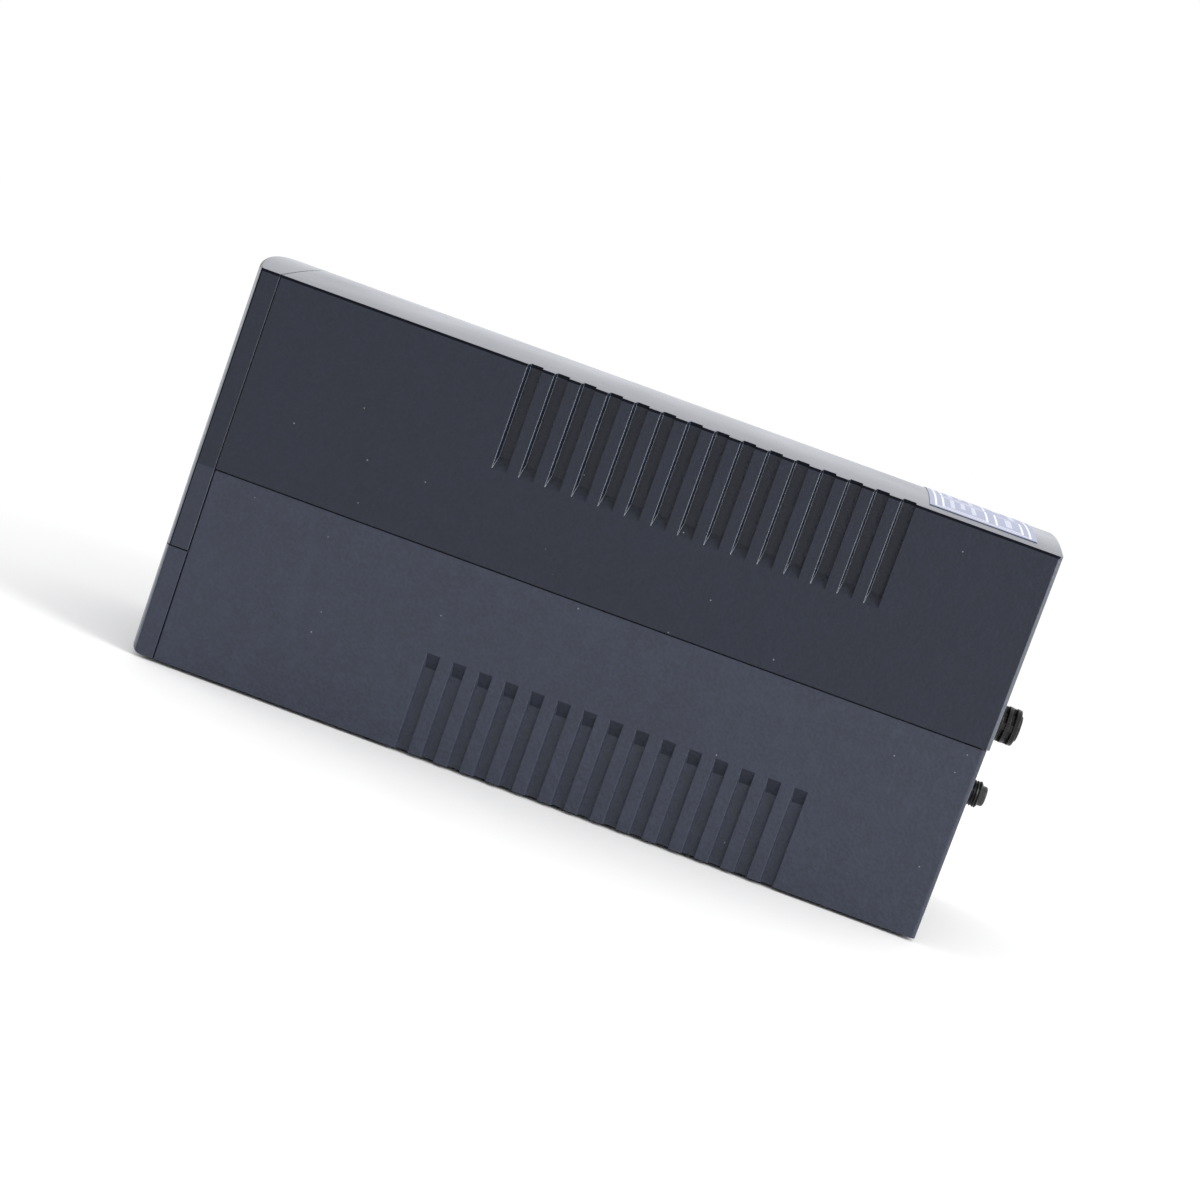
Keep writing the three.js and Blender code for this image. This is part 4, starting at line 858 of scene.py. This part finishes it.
class SUPPLY_OT_case(bpy.types.Operator):
    """Finish the two shells, the bezel, the lower front panel and the rear panel"""

    bl_idname = "supply.case"
    bl_label = "Case"

    def execute(self, context):
        sizes = context.scene.supply_case
        upper = moulded_case("upper_case", sizes.upper_colour, sizes)
        # The lower shell gets the lighter lower tone, which is painted light; the bezel takes it below the split.
        lower = moulded_case("lower_case", sizes.lower_lit_colour, sizes, painted_highlight_share=0.12)
        bezel = moulded_case("bezel", sizes.upper_colour, sizes, painted_lower_tone=sizes.lower_lit_colour, painted_highlight_share=0.35)
        for node, material, slot in (
            ("upper_shell", upper, "upper_case_plastic"),
            ("lower_shell", lower, "lower_case_plastic"),
            ("front_bezel", bezel, "upper_case_plastic"),
            ("lower_front_panel", lower, "lower_case_plastic"),
        ):
            fitted(smoothed_copy(node, node + "_moulding"), material, node)
        panel = plain_plastic("rear_panel_plastic", (0.012, 0.0125, 0.014), 0.46, 0.0009, 0.00003)
        fitted(smoothed_copy("rear_panel", "rear_panel_plate"), panel, "rear_panel")
        return {"FINISHED"}


class SUPPLY_OT_controls(bpy.types.Operator):
    """Make the control panel, the power button, the indicators and what stands behind them"""

    bl_idname = "supply.controls"
    bl_label = "Front controls"

    def execute(self, context):
        sizes = context.scene.supply_fittings
        gloss = gloss_plastic("gloss_panel")
        fitted(smoothed_copy("control_panel", "control_panel_plate"), gloss, "control_panel")
        self.make_button()
        colours = {"line": sizes.line_colour, "battery": sizes.battery_colour, "fault": sizes.fault_colour}
        for sign, colour in colours.items():
            self.make_lens(sign + "_lens", colour)
            self.make_led(sign + "_led", tuple(colour))
        self.make_switch()
        painted("switch_board", circuit_board("switch_board_mask"))
        return {"FINISHED"}

    def make_button(self):
        """A dished cap with a ringed rim, the flange behind the panel and the stem."""
        deep = size_in_mm("power_button")[1]
        centre = front_centre("power_button")
        flange = (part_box("control_panel")[1].y - centre.y) / MM + 0.3
        profile = in_mm(
            (0.05, 0.75), (2.0, 0.7), (3.6, 0.52), (5.0, 0.24), (5.5, 0.12), (5.7, 0.3), (5.95, 0.3),
            (6.1, 0.06), (6.4, 0.0), (6.75, 0.08), (6.93, 0.26), (7.0, 0.5), (7.0, flange), (8.1, flange),
            (8.2, flange + 0.1), (8.2, flange + 1.2), (2.4, flange + 1.2), (2.4, deep - 0.3), (2.1, deep))
        button = turned_piece("power_button_cap", centre, "Y", profile, 64)
        material = plain_plastic("button_plastic", (0.02, 0.021, 0.024), 0.3)
        fitted(softened(button), material, "power_button", "power_button")

    def make_lens(self, node, colour):
        wide, deep, _ = size_in_mm(node)
        radius = wide / 2
        profile = in_mm(
            (radius * 0.04, 0.0), (radius * 0.4, 0.05), (radius * 0.75, 0.18), (radius * 0.94, 0.36),
            (radius, 0.6), (radius, deep - 0.2), (radius * 0.9, deep))
        piece = turned_piece(node + "_pipe", front_centre(node), "Y", profile, 32)
        pale = tuple(0.55 + 0.45 * channel for channel in colour)
        fitted(softened(piece), clear_resin(node + "_resin", pale), node)

    def make_led(self, node, colour):
        """A domed lamp with a flange and two legs."""
        wide, deep, _ = size_in_mm(node)
        centre = front_centre(node)
        radius, flange, leg = wide / 2, 5.0, 0.2
        slim = radius * 0.9
        dome = [(slim * math.sin(a), slim * (1 - math.cos(a))) for a in (0.05, 0.4, 0.8, 1.2, math.pi / 2)]
        skirt = ((slim, flange), (radius, flange + 0.1), (radius, flange + 0.9), (slim, flange + 1.0))
        form = Form().turned(centre, "Y", in_mm(*dome, *skirt), 32)
        for x in (-0.7, 0.7):
            form.slab(centre, (x - leg, flange + 0.6, -leg), (x + leg, deep, leg))
        lamp = softened(fused(node + "_lamp", form))
        fitted(lamp, clear_resin(node + "_resin", colour, 0.15), node)

    def make_switch(self):
        """A square switch with a round plunger and four rivets."""
        wide, deep, tall = size_in_mm("button_switch")
        centre = front_centre("button_switch")
        face = rivet = 1.2
        form = Form().slab(centre, (-wide / 2, face, -tall / 2), (wide / 2, deep, tall / 2))
        form.turned(centre, "Y", in_mm((1.5, 0.0), (1.75, 0.2), (1.75, 2.0)), 32)
        for x in (rivet - wide / 2, wide / 2 - rivet):
            for z in (rivet - tall / 2, tall / 2 - rivet):
                place = centre + Vector((x, face - 0.25, z)) * MM
                form.turned(place, "Y", in_mm((0.5, 0.0), (0.6, 0.6)), 20)
        piece = softened(fused("button_switch_block", form), 0.14 * MM)
        fitted(piece, plain_plastic("switch_plastic", (0.02, 0.02, 0.022)), "button_switch")


class SUPPLY_OT_sockets(bpy.types.Operator):
    """Finish the two outlet sockets with their earth clips and contacts"""

    bl_idname = "supply.sockets"
    bl_label = "Outlet sockets"

    def execute(self, context):
        shell = plain_plastic("socket_plastic", (0.0105, 0.011, 0.012), 0.36, 0.0008, 0.00001)
        steel = metal("spring_steel", (0.62, 0.62, 0.61), (0.5, 0.49, 0.46), 0.24, (1, 1, 12))
        brass = metal("contact_brass", (0.72, 0.52, 0.24), (0.5, 0.33, 0.14), 0.26)
        for node in ("lower_socket", "upper_socket"):
            fitted(smoothed_copy(node, node + "_cup"), shell, node)
        for level in ("lower", "upper"):
            painted(level + "_earth_clip", steel)
            painted(level + "_contact_left", brass)
            painted(level + "_contact_right", brass)
        return {"FINISHED"}


class SUPPLY_OT_gland(bpy.types.Operator):
    """Mould the ribbed gland that grips the mains lead"""

    bl_idname = "supply.gland"
    bl_label = "Cord gland"

    def execute(self, context):
        r = context.scene.supply_fittings.gland_rounding / MM
        low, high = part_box("cord_gland")
        centre = front_centre("cord_gland")
        centre.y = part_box("rear_panel")[1].y
        back, end = (low.y - centre.y) / MM, (high.y - centre.y) / MM
        bore, core, ring, neck, flange = 3.7, 4.7, 6.6, 5.6, 8.0
        rows = [
            (bore, back), (neck - r, back), (neck, back + r), (neck, 0.3), (flange - r, 0.3),
            (flange, 0.3 + r), (flange - 0.2, 1.9 - r), (flange - 0.6, 1.9)]
        for start, stop in ((3.3, 5.1), (6.0, 7.8), (8.8, 10.8)):
            rows += [
                (core, start), (ring - r, start), (ring, start + r), (ring - 0.1, stop - r),
                (ring - 0.1 - r, stop), (core, stop)]
        rows += [(core, end - r), (core - r, end), (bore + 0.2, end), (bore, end - 0.3)]
        form = Form().turned(centre, "Y", in_mm(*rows), 64, loop=True)
        near, far, half = (core + bore) / 2, ring - 0.3, 1.2
        for left, right, bottom, top in (
            (near, far, -half, half), (-far, -near, -half, half),
            (-half, half, near, far), (-half, half, -far, -near),
        ):
            form.slab(centre, (left, 3.5, bottom), (right, 10.5, top))
        boot = softened(fused("cord_gland_boot", form))
        fitted(boot, rubber("gland_rubber", 0.05, 0.22), "cord_gland")
        return {"FINISHED"}


class SUPPLY_OT_breaker(bpy.types.Operator):
    """Make the threaded circuit breaker, its nut and its reset button"""

    bl_idname = "supply.breaker"
    bl_label = "Circuit breaker"

    def execute(self, context):
        low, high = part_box("breaker_body")
        centre = Vector(((low.x + high.x) / 2, 0.0, (low.z + high.z) / 2))
        self.make_body(centre, low, high, context.scene.supply_fittings.thread_pitch)
        self.make_nut(centre)
        self.make_button(centre)
        return {"FINISHED"}

    def make_body(self, centre, low, high, pitch):
        """The block behind the panel with its two tabs, and the threaded neck with its well."""
        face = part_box("rear_panel")[0].y - 0.3 * MM
        tail = face - 26 * MM
        neck, bore, thread = 4.75 * MM, 3.9 * MM, 0.55 * MM
        form = Form().block((low.x, tail, low.z), (high.x, face, high.z))
        outside = [(neck, face - 0.5 * MM), (neck, face + 0.4 * MM)]
        outside += thread_rows(face + 0.6 * MM, high.y - 0.5 * MM, neck, thread, pitch)
        outside += [(neck - thread, high.y - 0.15 * MM), (neck - 0.7 * MM, high.y), (0.5 * MM, high.y)]
        form.turned(centre, "Y", outside, 48)
        wide, thick = 3 * MM, 0.4 * MM
        for z in (centre.z - 9 * MM, centre.z + 9 * MM):
            form.block((centre.x - wide, low.y, z - thick), (centre.x + wide, tail + 0.5 * MM, z + thick))
        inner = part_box("breaker_reset_button")[0].y - 0.3 * MM
        inside = [(bore, inner), (bore, high.y - 0.3 * MM), (bore + 0.5 * MM, high.y + MM)]
        body = fused("breaker_threaded_body", form, Form().turned(centre, "Y", inside, 48))
        black = plain_plastic("breaker_plastic", (0.008, 0.0085, 0.0095), 0.3, specular_ior_level=0.3)
        fitted(softened(body), black, "breaker_body")

    def make_nut(self, centre):
        low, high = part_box("breaker_nut")
        corner = (high.z - low.z) / 2
        twelfth = math.pi / 6
        flat = min((high.x - low.x) / 2, corner * math.cos(twelfth))

        def hexagon(limit):
            return lambda angle: min(limit, flat / math.cos((angle + twelfth) % (2 * twelfth) - twelfth))

        profile = [
            (5.05 * MM, low.y), (hexagon(flat * 1.03), low.y), (hexagon(corner), low.y + 0.35 * MM),
            (hexagon(corner), high.y - 0.35 * MM), (hexagon(flat * 1.03), high.y), (5.3 * MM, high.y),
            (5.05 * MM, high.y - 0.25 * MM),
        ]
        nut = turned_piece("breaker_hex_nut", centre, "Y", profile, 72, loop=True)
        zinc = metal("nut_zinc", (0.6, 0.6, 0.58), (0.48, 0.46, 0.42), 0.3)
        fitted(softened(nut), zinc, "breaker_nut")

    def make_button(self, centre):
        wide, deep, _ = size_in_mm("breaker_reset_button")
        radius = wide / 2
        start = Vector((centre.x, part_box("breaker_reset_button")[0].y, centre.z))
        profile = in_mm(
            (radius - 0.3, 0.0), (radius, 0.3), (radius, deep - 0.9), (radius - 0.1, deep - 0.5),
            (radius - 0.35, deep - 0.2), (radius - 0.8, deep - 0.03), (radius - 1.2, deep),
            (radius - 1.7, deep - 0.08), (0.1, deep - 0.3))
        button = turned_piece("breaker_reset_cap", start, "Y", profile, 48)
        material = plain_plastic("reset_plastic", (0.016, 0.0165, 0.018), 0.3)
        fitted(softened(button), material, "breaker_reset_button", "breaker_button")


class SUPPLY_OT_screws(bpy.types.Operator):
    """Cut the case screws, strap screws and transformer screws"""

    bl_idname = "supply.screws"
    bl_label = "Screws"

    def execute(self, context):
        zinc = metal("screw_zinc", (0.62, 0.61, 0.58), (0.5, 0.46, 0.38), 0.28)
        for corner in CORNERS:
            self.make_screw("case_screw_" + corner, zinc, head_up=False)
        for name in ("strap_screw_1", "strap_screw_2", "transformer_screw_1", "transformer_screw_2"):
            self.make_screw(name, zinc, head_up=True)
        return {"FINISHED"}

    def make_screw(self, node, material, head_up):
        """A pan head with a cross recess on a threaded shank, head down unless it is turned over."""
        low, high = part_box(node)
        length = high.z - low.z
        head, deep, shank = 3.15 * MM, 2.4 * MM, 1.75 * MM
        profile = in_mm((0.3, 0.0), (1.2, 0.06), (2.1, 0.3), (2.8, 0.8), (3.08, 1.4))
        profile += [(head, 1.9 * MM), (head, deep - 0.1 * MM), (head - 0.1 * MM, deep), (shank, deep)]
        profile += thread_rows(deep + 0.3 * MM, length - 1.2 * MM, shank, 0.4 * MM, 1.2 * MM)
        profile += [(shank * 0.6, length - 0.6 * MM), (0.2 * MM, length)]
        form = Form().turned(Vector(), "Z", profile, 32)
        cross = Form()
        for long, wide in ((1.7, 0.42), (0.42, 1.7)):
            cross.loft([
                [Vector((x * MM, y * MM, z)) for x, y in ((-u, -v), (u, -v), (u, v), (-u, v))]
                for u, v, z in ((long, wide, -0.3 * MM), (long * 0.45, wide * 0.8, 1.5 * MM))
            ])
        piece = fused(node + "_pan_head", form, cross)
        place = base_centre(node)
        turn = Matrix.Identity(4)
        if head_up:
            place.z = high.z
            turn = Matrix.Rotation(math.pi, 4, "X")
        piece.matrix_world = Matrix.Translation(place) @ turn
        fitted(softened(piece), material, node)


class SUPPLY_OT_feet(bpy.types.Operator):
    """Press the four rubber feet"""

    bl_idname = "supply.feet"
    bl_label = "Feet"

    def execute(self, context):
        rings = context.scene.supply_fittings.foot_rings
        material = rubber("foot_rubber")
        for corner in CORNERS:
            node = "foot_" + corner
            wide, _, tall = size_in_mm(node)
            radius = wide / 2
            rows = [(0.6, 0.0)]
            for ring in range(rings):
                at = radius * (0.25 + 0.55 * ring / rings)
                rows += [(at, 0.0), (at + 0.15, 0.2), (at + 0.5, 0.2), (at + 0.65, 0.0)]
            rows += [
                (radius - 0.4, 0.0), (radius - 0.15, 0.08), (radius, 0.35), (radius, tall - 0.1),
                (radius - 0.1, tall)]
            pad = turned_piece(node + "_pad", base_centre(node), "Z", in_mm(*rows), 48)
            fitted(softened(pad), material, node)
        return {"FINISHED"}


class SUPPLY_OT_label(bpy.types.Operator):
    """Lay the blank ruled label on the top face"""

    bl_idname = "supply.label"
    bl_label = "Top label"

    def execute(self, context):
        sheet = smoothed_copy("top_label", "top_label_sheet")
        fitted(sheet, label_paper("label_sheet"), "top_label")
        return {"FINISHED"}


class SUPPLY_OT_battery(bpy.types.Operator):
    """Make the battery, its terminals, strap and leads"""

    bl_idname = "supply.battery"
    bl_label = "Battery"

    def execute(self, context):
        self.make_case()
        brass = metal("terminal_brass", (0.7, 0.55, 0.3), (0.55, 0.42, 0.25), 0.25)
        painted("battery_terminal_positive", brass)
        painted("battery_terminal_negative", brass)
        painted("battery_strap", metal("strap_zinc", (0.55, 0.56, 0.56), (0.42, 0.43, 0.44), 0.3, (1, 14, 1)))
        radius = context.scene.supply_inside.lead
        self.make_lead("red", "battery_terminal_positive", (0.45, 0.015, 0.012), radius)
        self.make_lead("black", "battery_terminal_negative", (0.013, 0.013, 0.014), radius)
        return {"FINISHED"}

    def make_case(self):
        """The block and its lid with a line between them, terminal pits and the outline of the vent strip."""
        low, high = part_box("battery_case")
        lid, line, step = high.z - 9 * MM, 0.6 * MM, 0.5 * MM
        form = Form().block(low, (high.x, high.y, lid))
        form.block((low.x + step, low.y + step, lid - MM), (high.x - step, high.y - step, lid + line + MM))
        form.block((low.x, low.y, lid + line), high)
        cuts = Form()
        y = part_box("battery_terminal_positive")[1].y - 2 * MM
        for x in (-24 * MM, 24 * MM):
            cuts.block((x - 5 * MM, y - 6 * MM, high.z - 2 * MM), (x + 5 * MM, y + 5 * MM, high.z + MM))
        middle = (low.y + high.y) / 2
        half, front, back, groove = 11 * MM, middle - 62 * MM, middle + 62 * MM, 0.4 * MM
        for x0, x1, y0, y1 in (
            (-half - groove, -half, front, back), (half, half + groove, front, back),
            (-half, half, front, front + groove), (-half, half, back - groove, back),
        ):
            cuts.block((x0, y0, high.z - 0.5 * MM), (x1, y1, high.z + MM))
        piece = softened(fused("battery_block", form, cuts), 0.5 * MM)
        plastic = plain_plastic("battery_plastic", (0.022, 0.023, 0.026), 0.42, 0.0007, 0.00003)
        fitted(piece, plastic, "battery_case")

    def make_lead(self, tint, terminal, colour, radius):
        """A lead that rises from the boot on its terminal."""
        node = "battery_lead_" + tint
        low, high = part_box(node)
        tab_low, tab_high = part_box(terminal)
        x = (tab_low.x + tab_high.x) / 2
        y = (tab_low.y + tab_high.y) / 2 + 0.7 * MM
        z = high.z - 7.35 * MM
        end = high.y - radius
        points = [Vector(point) for point in (
            (x, y + 1.0 * MM, z), (x, y + 7.0 * MM, z), (x * 0.92, end - 10.5 * MM, z - 1.4 * MM),
            (x * 0.85, end - 3.5 * MM, z - 0.4 * MM), (x * 0.85, end - 0.6 * MM, z + 2.4 * MM),
            (x * 0.85, end - 0.1 * MM, high.z))]
        form = Form().tube(smooth_path(points, 8), radius, 20)
        half, slot = 3.7 * MM, 2.7 * MM
        form.block((x - half, low.y, low.z), (x + half, low.y + 3.6 * MM, low.z + 7.2 * MM))
        hole = Form().block((x - slot, y - 1.4 * MM, low.z - MM), (x + slot, y, low.z + 6.0 * MM))
        piece = softened(fused(node + "_wire", form, hole), 0.3 * MM)
        fitted(piece, plain_plastic(node + "_pvc", colour, 0.35, 0.001, 0.000006), node)


class SUPPLY_OT_transformer(bpy.types.Operator):
    """Wind the transformer on its laminated core"""

    bl_idname = "supply.transformer"
    bl_label = "Transformer"

    def execute(self, context):
        painted("transformer_core", laminated_iron("core_laminations"))
        zinc = metal("frame_zinc", (0.55, 0.55, 0.54), (0.42, 0.42, 0.41), 0.32, (1, 1, 10))
        painted("transformer_frame", zinc)
        self.wind(context.scene.supply_inside.wire)
        return {"FINISHED"}

    def wind(self, wire):
        """A bobbin round the middle leg of the core, with one layer of wire between its two plates."""
        low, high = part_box("transformer_winding")
        core_low, core_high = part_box("transformer_core")
        leg, front, back = 13.6 * MM, core_low.y - 0.6 * MM, core_high.y + 0.6 * MM
        plate = wall = 1.2 * MM
        hole = rounded_loop(leg, front, back, 0.6 * MM)
        rim = rounded_loop(high.x, low.y, high.y, 6 * MM)
        sleeve = rounded_loop(leg + wall, front - wall, back + wall, MM)
        form = Form()
        for z in (low.z, high.z - plate):
            form.loft(collar(hole, rim, z, z + plate), loop=True)
        form.loft(collar(hole, sleeve, low.z, high.z), loop=True)
        room = high.z - low.z - 2 * plate
        turns = int(room / wire)
        inset = wire / 2 + 0.3 * MM
        for turn in range(turns):
            z = low.z + plate + room / turns * (turn + 0.5)
            path = rounded_loop(high.x - inset, low.y + inset, high.y - inset, 5.5 * MM, z)
            form.tube(path, wire * 0.495, 8, loop=True)
        coil = new_piece("transformer_coil", form.mesh("transformer_coil"))
        fitted(softened(coil), copper_wire("winding_copper"), "transformer_winding")


def collar(inner, outer, bottom, top):
    """The rings of a flat wall between two loops."""
    turns = ((inner, bottom), (outer, bottom), (outer, top), (inner, top))
    return [[Vector((point.x, point.y, z)) for point in loop] for loop, z in turns]


def rounded_loop(half, front, back, corner, z=0.0, steps=5):
    """Points round a rectangle with rounded corners, at height z."""
    points = []
    corners = ((half - corner, back - corner), (corner - half, back - corner),
               (corner - half, front + corner), (half - corner, front + corner))
    for quarter, (x, y) in enumerate(corners):
        for i in range(steps + 1):
            angle = math.pi / 2 * (quarter + i / steps)
            points.append(Vector((x + corner * math.cos(angle), y + corner * math.sin(angle), z)))
    return points


class SUPPLY_OT_board(bpy.types.Operator):
    """Populate the main board"""

    bl_idname = "supply.board"
    bl_label = "Main board"

    def execute(self, context):
        painted("main_board", circuit_board("main_board_mask"))
        painted("heat_sink", metal("sink_aluminium", (0.72, 0.73, 0.74), (0.6, 0.61, 0.62), 0.3, (10, 1, 10)))
        for index in (1, 2):
            self.make_transistor(f"power_transistor_{index}")
            self.make_relay(f"relay_{index}")
        self.make_capacitor()
        self.make_buzzer()
        return {"FINISHED"}

    def make_transistor(self, node):
        """A moulded body on a drilled tab, with three legs."""
        low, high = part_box(node)
        body, middle = low.z + 3.4 * MM, (low.y + high.y) / 2
        form = Form().block((low.x, low.y, body), (high.x - 1.3 * MM, high.y, high.z - 5.5 * MM))
        form.block((high.x - 1.4 * MM, low.y, body + 0.4 * MM), high)
        front, back, thin = high.x - 2.7 * MM, high.x - 2.2 * MM, 0.4 * MM
        for leg in (-1, 0, 1):
            y = middle + COMPONENT_PITCH * leg
            form.block((front, y - thin, low.z), (back, y + thin, body + 0.5 * MM))
        centre = Vector((0, middle, high.z - 3 * MM))
        angles = [math.tau * i / 24 for i in range(24)]
        circle = [centre + Vector((0, math.cos(angle), math.sin(angle))) * 1.8 * MM for angle in angles]
        drill = Form().loft([
            [point + Vector((x, 0, 0)) for point in circle] for x in (high.x - 3 * MM, high.x + MM)])
        piece = softened(fused(node + "_package", form, drill), 0.15 * MM)
        fitted(piece, plain_plastic(node + "_epoxy", (0.014, 0.014, 0.015), 0.38), node)

    def make_relay(self, node):
        """A shell that stands on a wider base."""
        low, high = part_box(node)
        rim, step, slim = 2.2 * MM, 0.4 * MM, 0.3 * MM
        form = Form().block(low, (high.x, high.y, low.z + rim))
        ends = [(low.x + step, low.y + step), (high.x - step, low.y + step),
                (high.x - step, high.y - step), (low.x + step, high.y - step)]
        tops = [(x + (slim if x < min(0, high.x - 5 * MM) else -slim), y) for x, y in ends]
        levels = ((ends, low.z + rim - 0.5 * MM), (tops, high.z))
        form.loft([[Vector((x, y, z)) for x, y in ring] for ring, z in levels])
        piece = softened(fused(node + "_block", form), 0.5 * MM, 3)
        blue = plain_plastic(node + "_shell", (0.012, 0.055, 0.19), 0.26, 0.0015, 0.000006)
        fitted(piece, blue, node)

    def make_capacitor(self):
        """A sleeved can with a rolled groove near its foot and a cross scored in its top."""
        wide, _, tall = size_in_mm("filter_capacitor")
        radius = wide / 2
        groove = radius - 0.4
        centre = base_centre("filter_capacitor")
        form = Form().turned(centre, "Z", in_mm(
            (radius - 0.8, 0.0), (radius - 0.2, 0.2), (radius, 0.8), (radius, 1.8), (groove, 2.3),
            (groove, 2.7), (radius, 3.2), (radius, tall - 0.8), (radius - 0.25, tall - 0.2), (radius - 0.7, tall),
            (radius - 1.1, tall - 0.15), (radius - 1.3, tall - 0.35), (0.2, tall - 0.35)))
        score = Form()
        for x, y in ((4.2, 0.15), (0.15, 4.2)):
            score.slab(centre, (-x, -y, tall - 0.6), (x, y, tall + 0.3))
        can = softened(fused("filter_capacitor_can", form, score))
        fitted(can, capacitor_sleeve("capacitor_sleeve"), "filter_capacitor")

    def make_buzzer(self):
        """A round can with a stepped sound hole, open below."""
        wide, _, tall = size_in_mm("buzzer")
        radius = wide / 2
        profile = in_mm(
            (0.9, 4.0), (radius - 1.0, 4.0), (radius - 1.0, 0.0), (radius - 0.2, 0.0), (radius, 0.2),
            (radius, tall - 0.7), (radius - 0.2, tall - 0.2), (radius - 0.6, tall), (1.9, tall),
            (1.7, tall - 0.4), (1.1, tall - 0.4), (0.9, tall - 0.6))
        can = turned_piece("buzzer_can", base_centre("buzzer"), "Z", profile, 48, loop=True)
        black = plain_plastic("buzzer_plastic", (0.013, 0.013, 0.014), 0.35)
        fitted(softened(can), black, "buzzer")


# ---- The sidebar and the order of work ----
OPERATORS = (
    SUPPLY_OT_stage,
    SUPPLY_OT_case,
    SUPPLY_OT_controls,
    SUPPLY_OT_sockets,
    SUPPLY_OT_gland,
    SUPPLY_OT_breaker,
    SUPPLY_OT_screws,
    SUPPLY_OT_feet,
    SUPPLY_OT_label,
    SUPPLY_OT_battery,
    SUPPLY_OT_transformer,
    SUPPLY_OT_board,
)


class SUPPLY_PT_pieces(bpy.types.Panel):
    """Lists the pieces of the power supply and their settings"""

    bl_idname = "SUPPLY_PT_pieces"
    bl_label = "Power supply"
    bl_space_type = "VIEW_3D"
    bl_region_type = "UI"
    bl_category = "Power supply"

    def draw(self, context):
        for name, group in SETTINGS.items():
            box = self.layout.box()
            for setting in group.__annotations__:
                box.prop(getattr(context.scene, name), setting)
        for operator in OPERATORS:
            self.layout.operator(operator.bl_idname)


CLASSES = (*SETTINGS.values(), *OPERATORS, SUPPLY_PT_pieces)


def register():
    for item in CLASSES:
        bpy.utils.register_class(item)
    for name, group in SETTINGS.items():
        setattr(bpy.types.Scene, name, PointerProperty(type=group))


def unregister():
    for name in SETTINGS:
        delattr(bpy.types.Scene, name)
    for item in reversed(CLASSES):
        bpy.utils.unregister_class(item)


def main():
    register()
    for operator in OPERATORS:
        group, name = operator.bl_idname.split(".")
        getattr(getattr(bpy.ops, group), name)()


if __name__ == "__main__":
    main()
